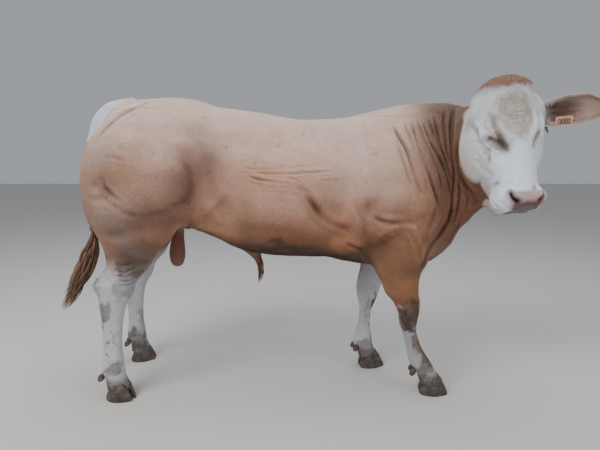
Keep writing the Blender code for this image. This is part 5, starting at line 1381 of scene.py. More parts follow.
# ------------------------------------------------------------------ ears, part of the skin
def ear_mesh(pose, left):
    nu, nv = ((44, 22))
    front, back = ear_surface(nu=nu, nv=nv, thick=0.0085, **pose)
    w = nv + 1
    u = np.repeat(np.linspace(0, 1, nu + 1), w)
    v = np.tile(np.linspace(-1, 1, w), nu + 1)
    e = unit(pose["along"])
    n = unit(np.array(pose["opening"], float) - np.dot(pose["opening"], e) * e)
    # ribs of gristle along the inside, a thicker upper edge, a wavy lower one
    rib = sum(np.exp(-((v - c * (1 - 0.35 * u)) / 0.10) ** 2) for c in (-0.45, -0.05, 0.38)) * smooth(0.02, 0.2, u) * smooth(0.95, 0.5, u)
    wave = (fractal(np.column_stack([u * 9, v * 2.0, u * 0]), 1.0, 41, 2) - 0.5)
    front = front + n * (0.0035 * rib + 0.004 * wave * (1 - v * v))[:, None]
    back = back + n * (0.0020 * rib + 0.004 * wave * (1 - v * v))[:, None]
    s = np.cross(e, n)
    edge = np.abs(v) ** 6
    shift = (fractal(np.column_stack([u * 6, v * 0, u * 0]), 1.0, 43, 2) - 0.5) * 0.008
    front, back = front + s * (edge * shift)[:, None], back + s * (edge * shift)[:, None]
    verts = np.concatenate([front, back])
    o = len(front)
    faces = []
    for i in range(nu):
        for j in range(nv):
            a = i * w + j
            faces.append((a, a + 1, a + w + 1, a + w))
            faces.append((o + a, o + a + w, o + a + w + 1, o + a + 1))
        a, b = i * w, i * w + nv
        faces.append((a, a + w, o + a + w, o + a))
        faces.append((b, o + b, o + b + w, b + w))
    for j in range(nv):
        a, b = j, nu * w + j
        faces.append((a, o + a, o + a + 1, a + 1))
        faces.append((b, b + 1, o + b + 1, o + b))
    me = fast_mesh("ear", verts, faces)
    bm = bmesh.new()
    bm.from_mesh(me)
    bmesh.ops.recalc_face_normals(bm, faces=bm.faces)
    bm.to_mesh(me)
    bm.free()
    # inside: pale pink, with painted shade brown over the upper half and dark brown along the cupped hollow, cream
    # edges; outside: tan and cream
    high = v * pose["upper"] * (1 if left else -1)
    high = -high if left else high
    q = np.column_stack([u * 12, v * 4, u * 0])
    blot = fractal(q, 1.0, 47, 3)
    inner = mix(np.tile(EAR_PINK * 0.86, (o, 1)), srgb(150, 104, 84), smooth(0.45, -0.25, high + (blot - 0.5) * 0.7) * smooth(0.75, 0.35, u) * 0.8)
    inner = mix(inner * [0.92, 0.98, 1.02], srgb(84, 58, 46), smooth(0.80, 0.25, np.abs(high - 0.10)) * smooth(0.04, 0.16, u) * smooth(0.78, 0.42, u) * (0.6 + 0.6 * blot))
    inner = mix(inner, srgb(206, 186, 172), smooth(0.72, 0.95, np.abs(v)))
    inner = mix(inner, srgb(170, 130, 112), smooth(0.55, 0.95, u) * 0.6)
    inner = mix(inner, WHITE * 0.84, smooth(0.24, 0.06, u) * 0.75)
    outer = mix(np.tile(TAN, (o, 1)), srgb(150, 104, 78), smooth(0.2, 0.8, blot + 0.2 * high))
    outer = mix(outer, CREAM, smooth(0.75, 0.98, np.abs(v)))
    col = np.concatenate([inner, outer])
    paint(me, "Coat", col)
    flow = np.tile(e, (2 * o, 1))
    return me, (u, v, front, back, e, n, s, col)


# ------------------------------------------------------------------ eyes and lids
def eye_ball(s):
    c, out, up, side = eye_frame(s)
    if s < 0:
        c = c - out * 0.010      # the shut eye lies deeper, under its lid
    nr, nc = 40, 56
    verts, cols = [], []
    look = unit(out + np.array([0.0, -0.25, -0.05]))
    for i in range(nr):
        th = math.pi * i / (nr - 1)
        for j in range(nc):
            ph = 2 * math.pi * j / nc
            x, y, z = math.sin(th) * math.cos(ph), math.sin(th) * math.sin(ph), math.cos(th)
            bulge = 1 + 0.05 * math.exp(-(th / 0.42) ** 2)
            verts.append(c + EYE_R * bulge * (x * side + y * up + z * out))
            r = math.hypot(x * 0.55, y * 1.25)
            iris = math.hypot(x, y)
            if z > 0 and r < 0.19:
                k = np.array(srgb(10, 12, 18))
            elif z > 0 and iris < 0.56:
                t = 0.5 + 0.5 * math.sin(37 * ph) * math.sin(23 * ph + 4 * iris)
                k = np.array(srgb(46, 28, 20)) * (0.7 + 0.5 * t)
            elif z > 0 and iris < 0.64:
                k = np.array(srgb(16, 12, 12))
            else:
                k = np.array(srgb(96, 74, 66))
            cols.append(k)
    me = fast_mesh("eye", real(np.array(verts)), grid_faces(nr, nc, True))
    paint(me, "Coat", np.array(cols))
    me.shade_smooth()
    return me


def eye_material():
    m, nt, b = new_material("wet_eye")
    at = nt.nodes.new("ShaderNodeVertexColor")
    at.layer_name = "Coat"
    tc = nt.nodes.new("ShaderNodeTexCoord")
    nz = node(nt, "ShaderNodeTexNoise")
    nz.inputs["Scale"].default_value = 420.0
    mr = nt.nodes.new("ShaderNodeMapRange")
    mr.inputs["To Min"].default_value, mr.inputs["To Max"].default_value = 0.75, 1.25
    mul = nt.nodes.new("ShaderNodeVectorMath")
    mul.operation = "SCALE"
    nt.links.new(tc.outputs["Object"], nz.inputs["Vector"])
    nt.links.new(nz.outputs["Fac"], mr.inputs["Value"])
    nt.links.new(at.outputs["Color"], mul.inputs[0])
    nt.links.new(mr.outputs["Result"], mul.inputs["Scale"])
    nt.links.new(mul.outputs["Vector"], b.inputs["Base Color"])
    b.inputs["Roughness"].default_value = 0.12
    b.inputs["Coat Weight"].default_value = 1.0
    b.inputs["Coat Roughness"].default_value = 0.03
    return m


def lid_mesh(s):
    """Lids of the open eye: a shell round the ball with an almond opening, its rim turned in."""
    c, out, up, side = eye_frame(s)
    nc, steps = 72, 14
    verts, cols = [], []
    for i in range(steps + 1):
        t = i / steps
        for j in range(nc):
            ph = 2 * math.pi * j / nc
            cx, sy = math.cos(ph), math.sin(ph)
            tilt = ph + 0.30
            a_in = math.radians(33 if sy > 0 else 29) + math.radians(25) * abs(math.cos(tilt)) ** 2.0
            a_out = math.radians(98)
            if i == 0:
                a, r = a_in, EYE_R + 0.0008
            else:
                a = a_in + (a_out - a_in) * ((i - 1) / (steps - 1)) ** 1.2
                g = (i - 1) / (steps - 1)
                r = EYE_R + 0.0026 + 0.0014 * math.exp(-((g - 0.18) / 0.12) ** 2) + 0.0012 * math.sin(g * 22) * (0.7 if sy > 0 else 0.35) * (1 - g)
            d = math.sin(a) * (cx * side + sy * up) + math.cos(a) * out
            verts.append(c + r * d)
            k = WHITE * 0.80
            if t < 0.18:
                k = srgb(70, 46, 40) * (1 - t / 0.18) + WHITE * 0.62 * (t / 0.18)
            elif t < 0.5:
                k = srgb(190, 168, 160) * (1 - (t - 0.18) / 0.32) + WHITE * 0.80 * ((t - 0.18) / 0.32)
            cols.append(k)
    me = fast_mesh("lid", real(np.array(verts)), grid_faces(steps + 1, nc, True))
    bm = bmesh.new()
    bm.from_mesh(me)
    ctr = Vector(real(c))
    for f in bm.faces:
        if f.normal.dot(f.calc_center_median() - ctr) < 0:
            f.normal_flip()
    bm.to_mesh(me)
    bm.free()
    paint(me, "Coat", np.array(cols))
    return me


# ------------------------------------------------------------------ claws
def horn_material():
    m, nt, b = new_material("horn_grey")
    tc = nt.nodes.new("ShaderNodeTexCoord")
    mp = nt.nodes.new("ShaderNodeMapping")
    mp.inputs["Scale"].default_value = (20.0, 20.0, 190.0)
    n1, n2 = node(nt, "ShaderNodeTexNoise"), node(nt, "ShaderNodeTexNoise")
    n1.inputs["Scale"].default_value, n1.inputs["Detail"].default_value = 1.0, 4.0
    n2.inputs["Scale"].default_value, n2.inputs["Detail"].default_value = 45.0, 6.0
    cr = nt.nodes.new("ShaderNodeValToRGB")
    cr.color_ramp.elements[0].position, cr.color_ramp.elements[0].color = 0.30, (*srgb(46, 38, 34), 1)
    cr.color_ramp.elements[1].position, cr.color_ramp.elements[1].color = 0.72, (*srgb(128, 112, 98), 1)
    e = cr.color_ramp.elements.new(0.52)
    e.color = (*srgb(84, 72, 64), 1)
    add = nt.nodes.new("ShaderNodeMath")
    add.operation = "MULTIPLY_ADD"
    add.inputs[1].default_value = 0.45
    bump = nt.nodes.new("ShaderNodeBump")
    bump.inputs["Strength"].default_value, bump.inputs["Distance"].default_value = 0.6, 0.002
    mr = nt.nodes.new("ShaderNodeMapRange")
    mr.inputs["To Min"].default_value, mr.inputs["To Max"].default_value = 0.42, 0.75
    nt.links.new(tc.outputs["Object"], mp.inputs["Vector"])
    nt.links.new(mp.outputs["Vector"], n1.inputs["Vector"])
    nt.links.new(tc.outputs["Object"], n2.inputs["Vector"])
    nt.links.new(n1.outputs["Fac"], add.inputs[0])
    nt.links.new(n2.outputs["Fac"], add.inputs[2])
    half = nt.nodes.new("ShaderNodeMath")
    half.operation = "MULTIPLY"
    half.inputs[1].default_value = 0.68
    nt.links.new(add.outputs["Value"], half.inputs[0])
    nt.links.new(half.outputs["Value"], cr.inputs["Fac"])
    nt.links.new(cr.outputs["Color"], b.inputs["Base Color"])
    nt.links.new(add.outputs["Value"], bump.inputs["Height"])
    nt.links.new(bump.outputs["Normal"], b.inputs["Normal"])
    nt.links.new(n2.outputs["Fac"], mr.inputs["Value"])
    nt.links.new(mr.outputs["Result"], b.inputs["Roughness"])
    return m


def ring_tube(points, levels, count, name):
    v = np.array(points)
    me = bpy.data.meshes.new(name)
    me.from_pydata([tuple(q) for q in real(v)], [], rings_mesh(points, levels, count))
    bm = bmesh.new()
    bm.from_mesh(me)
    bmesh.ops.recalc_face_normals(bm, faces=bm.faces)
    bm.to_mesh(me)
    bm.free()
    return me


def make_claws(mat):
    for name, side, x, y, turn, size in FEET:
        for which, outer in (("outer", 1), ("inner", -1)):
            levels, count = np.linspace(0, 1, 22), 44
            pts = np.array(claw_points(side, x, y, turn, size, outer, levels, count))
            mid = pts.reshape(22, count, 3).mean(1)
            ring = np.repeat(np.arange(22), count)
            d = pts - mid[ring]
            d[:, 2] = 0
            ln = np.maximum(np.linalg.norm(d, axis=1), 1e-6)[:, None]
            wob = 0.0009 * np.sin(levels[ring] * 34 + 2 * noise(pts, 0.03, 5)) * smooth(0, 0.15, levels[ring]) + 0.0016 * (noise(pts, 0.02, 9) - 0.6)
            pts = pts + d / ln * wob[:, None]
            me = ring_tube(list(pts), 22, count, "claw")
            full = "claw_%s_%s" % (name, which)
            ob = piece(me, "horn_" + full, "horn", full)
            ob.data.materials.append(mat)
            me.shade_smooth()
            bev = bpy.data.objects[ob.name]
            back, z = DEWCLAWS[name]
            pts = dewclaw_points(side, back, y, turn, outer, z, 12, 24)
            me = ring_tube(pts, 12, 24, "dewclaw")
            full = "dewclaw_%s_%s" % (name, which)
            ob = piece(me, "horn_" + full, "horn", full)
            ob.data.materials.append(mat)
            me.shade_smooth()


# ------------------------------------------------------------------ ear tag
def tag_piece():
    e, n, up = ear_frame(LEFT_EAR)
    c = np.array(TAG_AT)
    w, h, t, r = *TAG_HALF, 0.0013, 0.006
    outline = []
    for cx, cy, a0 in ((w - r, h - r, 0), (-w + r, h - r, 90), (-w + r, -h + r, 180), (w - r, -h + r, 270)):
        for k in range(9):
            a = math.radians(a0 + k * 90 / 8)
            outline.append((cx + r * math.cos(a), cy + r * math.sin(a)))
    m = len(outline)
    verts, rings = [], []
    for inset, depth in ((0.0009, t), (0.0, t * 0.5), (0.0, -t * 0.5), (0.0009, -t)):
        for x, y in outline:
            k = 1 - inset / w
            bow = 0.0022 * (x / w) ** 2
            verts.append(c + e * x * k + up * y * k + n * (depth - bow))
        rings.append(m)
    faces = []
    for i in range(3):
        for j in range(m):
            a, b = i * m + j, i * m + (j + 1) % m
            faces.append((a, b, b + m, a + m))
    me = bpy.data.meshes.new("tag")
    me.from_pydata([tuple(q) for q in real(np.array(verts))], [], faces + [tuple(range(m))[::-1], tuple(range(3 * m, 4 * m))])
    bm = bmesh.new()
    bm.from_mesh(me)
    bmesh.ops.recalc_face_normals(bm, faces=bm.faces)
    # round stud through the plate's upper part
    for depth, rad in ((1, 0.0042),):
        mat = np.eye(4)
        mat[:3, 0], mat[:3, 1], mat[:3, 2] = e, up, n
        mat[:3, 3] = real(c + up * 0.0155 + n * 0.0015)
        bmesh.ops.create_cone(bm, cap_ends=True, segments=28, radius1=rad * SIZE, radius2=rad * SIZE * 0.55, depth=0.0034, matrix=Matrix(mat.tolist()))
    bm.to_mesh(me)
    bm.free()
    ob = piece(me, "tag_plate", "tag_plastic", "ear_tag")
    m, nt, b = new_material("salmon_plastic")
    tc = nt.nodes.new("ShaderNodeTexCoord")
    nz = node(nt, "ShaderNodeTexNoise")
    nz.inputs["Scale"].default_value, nz.inputs["Detail"].default_value = 160.0, 5.0
    cr = nt.nodes.new("ShaderNodeValToRGB")
    cr.color_ramp.elements[0].position, cr.color_ramp.elements[0].color = 0.30, (*srgb(184, 146, 122), 1)
    cr.color_ramp.elements[1].position, cr.color_ramp.elements[1].color = 0.62, (*srgb(214, 168, 138), 1)
    mr = nt.nodes.new("ShaderNodeMapRange")
    mr.inputs["To Min"].default_value, mr.inputs["To Max"].default_value = 0.35, 0.6
    bump = nt.nodes.new("ShaderNodeBump")
    bump.inputs["Strength"].default_value, bump.inputs["Distance"].default_value = 0.2, 0.0004
    nt.links.new(tc.outputs["Object"], nz.inputs["Vector"])
    nt.links.new(nz.outputs["Fac"], cr.inputs["Fac"])
    nt.links.new(cr.outputs["Color"], b.inputs["Base Color"])
    nt.links.new(nz.outputs["Fac"], mr.inputs["Value"])
    nt.links.new(mr.outputs["Result"], b.inputs["Roughness"])
    nt.links.new(nz.outputs["Fac"], bump.inputs["Height"])
    nt.links.new(bump.outputs["Normal"], b.inputs["Normal"])
    ob.data.materials.append(m)
    # plain digits of no meaning
    cu = bpy.data.curves.new("digits", "FONT")
    cu.body, cu.size, cu.extrude, cu.align_x, cu.align_y = "0000", 0.0255 * SIZE, 0.0003, "CENTER", "CENTER"
    cu.resolution_u = 3
    to = bpy.data.objects.new("digits", cu)
    bpy.context.scene.collection.objects.link(to)
    dg = bpy.context.evaluated_depsgraph_get()
    tm = bpy.data.meshes.new_from_object(to.evaluated_get(dg))
    bpy.data.objects.remove(to)
    v = coords(tm) * [1.0, 1.45, 1.0]
    fwd = e if np.dot(np.cross(e, up), n) > 0 else -e
    place = real(c - up * 0.0035)
    bow = 0.0022 * SIZE * (v[:, 0] / (w * SIZE)) ** 2
    set_coords(tm, place + v[:, :1] * fwd + v[:, 1:2] * up + (v[:, 2:3] + t * SIZE + 0.0001 - bow[:, None]) * n)
    dob = piece(tm, "tag_digits", "tag_plastic")
    dm, nt, b = new_material("digit_ink")
    nz = node(nt, "ShaderNodeTexNoise")
    nz.inputs["Scale"].default_value = 300.0
    tc = nt.nodes.new("ShaderNodeTexCoord")
    cr = nt.nodes.new("ShaderNodeValToRGB")
    cr.color_ramp.elements[0].color = (*srgb(48, 34, 26), 1)
    cr.color_ramp.elements[1].color = (*srgb(104, 74, 52), 1)
    nt.links.new(tc.outputs["Object"], nz.inputs["Vector"])
    nt.links.new(nz.outputs["Fac"], cr.inputs["Fac"])
    nt.links.new(cr.outputs["Color"], b.inputs["Base Color"])
    b.inputs["Roughness"].default_value = 0.7
    tm.materials.append(dm)


# ------------------------------------------------------------------ coat tufts
def flow_at(p, n):
    """Which way the hair lies, along the skin."""
    q = head_coords(p)
    x, z = p[:, 0], p[:, 2]
    v = np.tile([-1.0, 0.0, -0.42], (len(p), 1))
    def lean(w, d):
        nonlocal v
        v = v * (1 - w[:, None]) + np.array(d) * w[:, None]
    lean(smooth(0.35, 0.60, x) * smooth(0.5, 0.65, z), (-0.75, 0.15, -0.75))
    lean(smooth(-0.45, -0.75, x), (-0.35, 0.0, -1.0))
    lean(smooth(0.68, 0.56, z), (-0.12, 0.0, -1.0))
    lean(smooth(-0.4, -0.9, n[:, 2]) * smooth(0.55, 0.62, z), (-1.0, 0.0, 0.0))
    on = (p[:, 1] < -0.15) & (q[:, 0] > -0.09) & (q[:, 2] > -0.36) & (q[:, 2] < 0.1) & (np.abs(q[:, 1]) < 0.2) & (x > 0.66)
    down = smooth(0.06, 0.20, q[:, 0])
    hv = np.column_stack([down * 2 - 0.75, np.tanh(q[:, 1] / 0.035) * (0.25 + 0.6 * (1 - np.abs(down * 2 - 1))), -0.5 * smooth(-0.04, -0.14, q[:, 2])])
    v[on] = (hv @ HEAD_AXES)[on]
    wob = np.column_stack([fractal(p, 0.12, 61 + i, 2) - 0.5 for i in range(3)]) * 0.9
    v = v / np.linalg.norm(v, axis=1)[:, None] + wob
    v = v - (v * n).sum(1)[:, None] * n
    return v / np.maximum(np.linalg.norm(v, axis=1), 1e-6)[:, None], on


def sample_surface(verts, tris, weight, count):
    """Points spread over triangles in proportion to their area and weight."""
    a, b, c = (verts[tris[:, i]] for i in range(3))
    area = np.linalg.norm(np.cross(b - a, c - a), axis=1) / 2 * weight[tris].mean(1)
    cum = np.cumsum(area)
    pick = np.searchsorted(cum, (np.arange(count) + RNG.random(count)) * cum[-1] / count)
    pick = np.clip(pick, 0, len(tris) - 1)
    r1, r2 = np.sqrt(RNG.random(count)), RNG.random(count)
    w = np.column_stack([1 - r1, r1 * (1 - r2), r1 * r2])
    return tris[pick], w


def blend3(values, tri, w):
    return (values[tri] * w[:, :, None]).sum(1)


def atlas(p, n, on_head):
    """Place of a root on an unwrap of the skin: body parts times six box sides."""
    group = np.where(on_head, 3, np.where(p[:, 2] < 0.60, np.where(p[:, 1] < 0, 1, 2), 0))
    axis = np.argmax(np.abs(n), axis=1)
    sign = (n[np.arange(len(n)), axis] > 0).astype(int)
    lo, hi = np.array([-1.25, -0.75, -0.05]), np.array([1.35, 0.45, 1.45])
    f = (p - lo) / (hi - lo)
    other = np.array([[1, 2], [0, 2], [0, 1]])[axis]
    a, b = f[np.arange(len(f)), other[:, 0]], f[np.arange(len(f)), other[:, 1]]
    col = axis * 2 + sign
    return np.column_stack([(col + 0.04 + 0.92 * a) / 6, (group + 0.04 + 0.92 * b) / 4])


def make_tufts(name, mat, root, normal, flow, length, width, lift, colour, uv, curl=None, tip=0.35):
    """Flat tapering locks of hair as closed solids. Sizes are real metres, directions unit vectors."""
    k = len(root)
    side = np.cross(normal, flow)
    L, W = length[:, None], width[:, None]
    up = np.sin(lift)[:, None]
    fwd = np.cos(lift)[:, None]
    base = root - normal * 0.0008
    mid = root + flow * L * 0.52 * fwd + normal * (L * 0.52 * up * 1.35 + 0.0002)
    end = root + flow * L * fwd + normal * L * up * 0.9
    if curl is not None:
        mid = mid + side * (curl[:, None] * L * 0.20)
        end = end + side * (curl[:, None] * L * 0.52) - normal * (L * 0.10)
    if curl is None:
        v = np.stack([base - side * W, base + side * W, base + normal * W * 0.40 + flow * L * 0.22, end], 1)
        f = np.array([(0, 2, 3), (2, 1, 3), (1, 0, 3), (0, 1, 2)])
        shade = np.array([0.95, 0.95, 1.0, 1.04])
    else:
        v = np.stack([base - side * W, base + side * W, base + normal * W * 0.7,
                      mid - side * W * 0.8, mid + side * W * 0.8, mid + normal * W * 0.55, end], 1)
        f = np.array([(0, 3, 1), (1, 3, 4), (1, 4, 2), (2, 4, 5), (2, 5, 0), (0, 5, 3), (3, 6, 4), (4, 6, 5), (5, 6, 3), (0, 1, 2)])
        shade = np.array([0.86, 0.86, 0.92, 0.97, 0.97, 1.03, 1.10])
    nv = v.shape[1]
    verts = v.reshape(-1, 3)
    faces = (f[None] + (np.arange(k) * nv)[:, None, None]).reshape(-1, 3)
    me = fast_mesh(name, verts, faces)
    vary = 1 + (RNG.random(k) - 0.5) * 0.07
    col = (colour * vary[:, None])[:, None, :] * shade[None, :, None]
    paint(me, "Coat", col.reshape(-1, 3))
    layer = me.uv_layers.new(name="OFBake")
    off = np.zeros((nv, 2))
    off[:, 0] = np.linspace(-0.5, 0.5, nv) * 0.003
    off[:, 1] = np.where(np.arange(nv) == nv - 1, 0.5, -0.5) * 0.003
    data = uv[:, None, :] + off[f.ravel()][None]
    layer.data.foreach_set("uv", data.astype(np.float32).ravel())
    me.materials.append(mat)
    me.shade_smooth()
    ob = link(me, name)
    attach(ob, "root")
    print(name, "triangles", len(faces))
    return ob


def lock(points, radii, count, twist=0.0):
    """A tapering strand round a line of points."""
    pts = np.array(points)
    t = np.gradient(pts, axis=0)
    t /= np.maximum(np.linalg.norm(t, axis=1), 1e-9)[:, None]
    ref = np.array([0.2, 1.0, 0.1])
    a = np.cross(t, ref)
    a /= np.linalg.norm(a, axis=1)[:, None]
    b = np.cross(t, a)
    ang = np.arange(count) / count * 2 * math.pi
    g = ang[None, :] + (np.linspace(0, twist, len(pts)))[:, None]
    v = pts[:, None] + radii[:, None, None] * (np.cos(g)[..., None] * a[:, None] + np.sin(g)[..., None] * b[:, None] * 0.6)
    return v.reshape(-1, 3)


# ------------------------------------------------------------------ the skin, all in one piece
COAT = coat_material("short_hair")
skin, parts = build_skin()
p, dark, pit, rims, in_head, marks, flat, forms = sculpt(skin, parts)
set_coords(skin.data, p)
n = normals(skin.data)
col, on_face = markings(flat, n, parts)
# painted shade and painted highlights of the muscle forms
for m, g, tone in forms:
    w = (g * (1 - on_face[m]))[:, None]
    col[m] = col[m] * (1 - w + w * np.array(tone))
# painted shade darkening the coat in the creases
col = mix(col, col * [0.36, 0.29, 0.26], dark * (1 - on_face))
slit = np.zeros(len(p))
# painted shade along the face's grooves and folds, darkest in the shut eye's slit
for line, wide, tone in marks:
    near = (on_face > 0.5) & ((flat > line.min(0) - 0.05) & (flat < line.max(0) + 0.05)).all(1)
    if near.any() and tone > 0:
        d, t = line_distance(flat[near], line)
        g = np.exp(-(d / wide) ** 2) * smooth(0, 0.2, t + 0.1) * smooth(1.0, 0.8, t - 0.1)
        shade = srgb(76, 58, 48) if tone >= 1 else srgb(112, 94, 82) if tone > 0.5 else srgb(160, 152, 156)
        col[near] = mix(col[near], shade, g * min(tone, 0.95))
        if tone >= 1:
            slit[near] = np.maximum(slit[near], g * 0.8)
d, _ = line_distance(flat, soften(ray_hits(parts, [(488, 122), (491.5, 129), (496, 136)]), 12))
col = mix(col, srgb(190, 178, 164), np.exp(-(d / 0.0125) ** 2) * on_face * 0.5)
halo = ray_hits(parts, [(507.5, 191.5), (508.5, 197), (512, 202.5)])
q_halo = (halo - POLL) @ HEAD_AXES.T
for s in (1, -1):
    d, _ = line_distance(flat, soften([on_head(a, s * c, e) for a, c, e in q_halo], 12))
    col = mix(col, srgb(186, 128, 126), np.exp(-(d / 0.0095) ** 2) * on_face * 0.8)
col = mix(col, srgb(176, 112, 108), np.clip(rims - pit, 0, 1) * on_face * 0.75)
# painted shade deep in the nostril pits
col = mix(col, srgb(40, 22, 20), np.clip(pit * 1.5, 0, 1) ** 1.2 * on_face)
paint(skin.data, "Coat", col)
body_p, body_tris = arrays_of(skin.data)
body_n, body_col = n.copy(), col.copy()
set_coords(skin.data, real(p))

ears = []
for pose, left in ((LEFT_EAR, True), (RIGHT_EAR, False)):
    me, info = ear_mesh(pose, left)
    ep, et = arrays_of(me)
    en = normals(me)
    ears.append((ep.copy(), et.copy(), en.copy(), info, left))
    set_coords(me, real(ep))
    join_into(skin, [me])
join_into(skin, [lid_mesh(1)])
skin.data.shade_smooth()
skin.data.materials.clear()
skin.data.materials.append(COAT)
skin.name = "skin"
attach(skin, "root")
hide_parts("head", "neck", "trunk", "tail_dock", "scrotum", "sheath", "ear_left", "ear_right",
            *["%s_%s" % (a, b) for a in ("upper", "lower") for b in ("hind_right", "hind_left", "fore_right", "fore_left")])
print("skin faces", len(skin.data.polygons))

EYES = eye_material()
for s, name in ((1, "eye_left"), (-1, "eye_right")):
    me = eye_ball(s)
    me.materials.append(EYES)
    piece(me, "ball_" + name, "eyeball", name)
make_claws(horn_material())
tag_piece()

# ------------------------------------------------------------------ tail switch, sheath tuft
HAIR = coat_material("long_hair", rough=0.55, fine=600.0, strength=0.5, vary=0.25, sheen=0.1)


def long_hair(name, slot, strands, *nodes):
    verts, faces, cols, uvs, base = [], [], [], [], 0
    for pts, radii, count, colour, place in strands:
        v = lock(pts, radii, count, twist=1.5)
        rows = len(pts)
        f = grid_faces(rows, count, True)
        tris = []
        for a, b, c, d in f:
            tris += [(a, b, c), (a, c, d)]
        cap0 = [(0, j + 1, j) for j in range(1, count - 1)]
        last = (rows - 1) * count
        cap1 = [(last, last + j, last + j + 1) for j in range(1, count - 1)]
        tris += cap0 + cap1
        faces.append(np.array(tris) + base)
        base += len(v)
        verts.append(v)
        g = np.repeat(np.linspace(0.82, 1.18, rows), count)
        cols.append(colour[None] * g[:, None])
        off = np.column_stack([np.tile(np.linspace(-0.5, 0.5, count), rows), np.repeat(np.linspace(-0.5, 0.5, rows), count)]) * 0.003
        uvs.append(place + off)
    verts, faces, cols, uvs = np.concatenate(verts), np.concatenate(faces), np.concatenate(cols), np.concatenate(uvs)
    me = fast_mesh(name, real(verts), faces)
    paint(me, "Coat", cols)
    layer = me.uv_layers.new(name="OFBake")
    layer.data.foreach_set("uv", uvs[faces.ravel()].astype(np.float32).ravel())
    me.materials.append(HAIR)
    me.shade_smooth()
    print(name, "triangles", len(faces))
    return piece(me, name, slot, *nodes)


def switch_strands():
    axis = Sweep(SWITCH, side=(0, 1, 0))
    s_all = axis.s
    out = []
    for i in range(150):
        coarse = i < 70
        start = RNG.uniform(0.0, 0.30) if i > 30 else RNG.uniform(0, 0.1)
        stop = RNG.uniform(0.72, 1.0) if i % 4 else RNG.uniform(0.5, 0.8)
        k = 26
        g = np.linspace(start, stop, k) * s_all[-1]
        rows = axis.table(g)
        idx = g / s_all[-1] * (len(s_all) - 1)
        i0 = np.clip(idx.astype(int), 0, len(s_all) - 2)
        f = (idx - i0)[:, None]
        u = axis.u[i0] * (1 - f) + axis.u[i0 + 1] * f
        v = axis.v[i0] * (1 - f) + axis.v[i0 + 1] * f
        rad = RNG.uniform(0.15, 0.92) ** 0.7
        ang = RNG.uniform(0, 2 * math.pi)
        phase, freq, amp = RNG.uniform(0, 6.3), RNG.uniform(16, 30), RNG.uniform(0.005, 0.013)
        t = g - g[0]
        grow = smooth(0.0, 0.10, t)
        a = rad * (0.55 + 0.45 * grow)
        wave = amp * np.sin(freq * t + phase) * grow
        wave2 = amp * 0.8 * np.cos(freq * 0.83 * t + phase * 1.7) * grow
        cu = rows[:, 3] * a * math.cos(ang) * 0.95 + wave
        cv = rows[:, 4] * a * math.sin(ang) * 0.95 + wave2
        pts = rows[:, :3] + u * cu[:, None] + v * cv[:, None]
        w = (0.0062 if coarse else 0.0026) * RNG.uniform(0.7, 1.2)
        radii = w * np.clip(np.minimum(1, 0.35 + t / 0.05), 0, 1) * (1 - np.linspace(0, 1, k) ** 2.5 * 0.93)
        tone = mix(SWITCH_BROWN[None], srgb(166, 132, 112)[None], np.array([RNG.uniform(0, 0.9) ** 2]))[0] * RNG.uniform(0.68, 1.25)
        out.append((pts, radii, 6 if coarse else 5, tone, np.array([0.02 + 0.10 * rad * (0.5 + 0.5 * math.cos(ang)), 0.90 + 0.08 * (0.5 + 0.5 * math.sin(ang))])))
    return out


long_hair("switch_locks", "switch_hair", switch_strands(), "tail_switch")


def sheath_strands():
    axis = Sweep(SHEATH, side=(0, 1, 0))
    out = []
    for i in range(46):
        k = 14
        start, stop = RNG.uniform(0.28, 0.58), RNG.uniform(0.72, 1.0)
        g = np.linspace(start, stop, k) * axis.s[-1]
        rows = axis.table(g)
        ang, rad = RNG.uniform(0, 6.3), RNG.uniform(0.2, 0.9)
        wob = 0.004 * np.sin(34 * (g - g[0]) + RNG.uniform(0, 6)) * smooth(0, 0.05, g - g[0])
        pts = rows[:, :3] + np.column_stack([rows[:, 4] * rad * math.cos(ang) + wob, rows[:, 3] * rad * math.sin(ang) + wob * 0.7, 0 * g])
        radii = 0.0030 * RNG.uniform(0.6, 1.2) * (1 - np.linspace(0, 1, k) ** 2 * 0.93)
        tone = mix(srgb(84, 58, 42)[None], srgb(140, 100, 74)[None], np.array([RNG.uniform(0, 1) ** 2]))[0]
        out.append((pts, radii, 5, tone, np.array([0.30 + 0.01 * math.cos(ang), 0.20 + 0.01 * math.sin(ang)])))
    return out


long_hair("sheath_locks", "coat_tan", sheath_strands())

# ------------------------------------------------------------------ the coat's tufts
def regions(p, n, on):
    """Length, lift and density of the hair at points of the skin (real metres)."""
    q = head_coords(p)
    x, y, z = p.T
    ln = 0.0115 + 0 * x
    dens = 1.0 + 0 * x
    lift = np.full(len(p), math.radians(2.6))
    def put(w, length, density, deg):
        nonlocal ln, dens, lift
        w = np.clip(w, 0, 1)
        ln, dens, lift = ln * (1 - w) + length * w, dens * (1 - w) + density * w, lift * (1 - w) + math.radians(deg) * w
    put(smooth(0.45, 0.6, x), 0.0125, 1.15, 3.2)
    put(smooth(-0.55, -0.9, n[:, 2]) * (z > 0.5), 0.018, 1.3, 7)
    put(smooth(0.60, 0.52, z), 0.0100, 1.4, 4)
    put(smooth(0.30, 0.24, z), 0.0075, 2.0, 4)
    put(smooth(0.085, 0.045, z), 0.013, 3.0, 11)
    back_thigh = smooth(-0.86, -0.95, x) * smooth(0.45, 0.6, z) * smooth(1.1, 0.8, z)
    put(back_thigh, 0.014, 1.3, 5)
    put(on & (q[:, 0] > 0.10), 0.0065, 2.8, 3.0)
    put(on * smooth(0.15, 0.09, q[:, 0]), 0.0095, 2.8, 5)
    put(on * smooth(0.04, 0.01, q[:, 0]), 0.015, 3.0, 11)
    put(on * smooth(0.38, 0.43, q[:, 0]), 0.0050, 2.6, 4)
    put(on * smooth(-0.13, -0.17, q[:, 2]), 0.0080, 2.2, 3.5)
    return ln, dens, lift


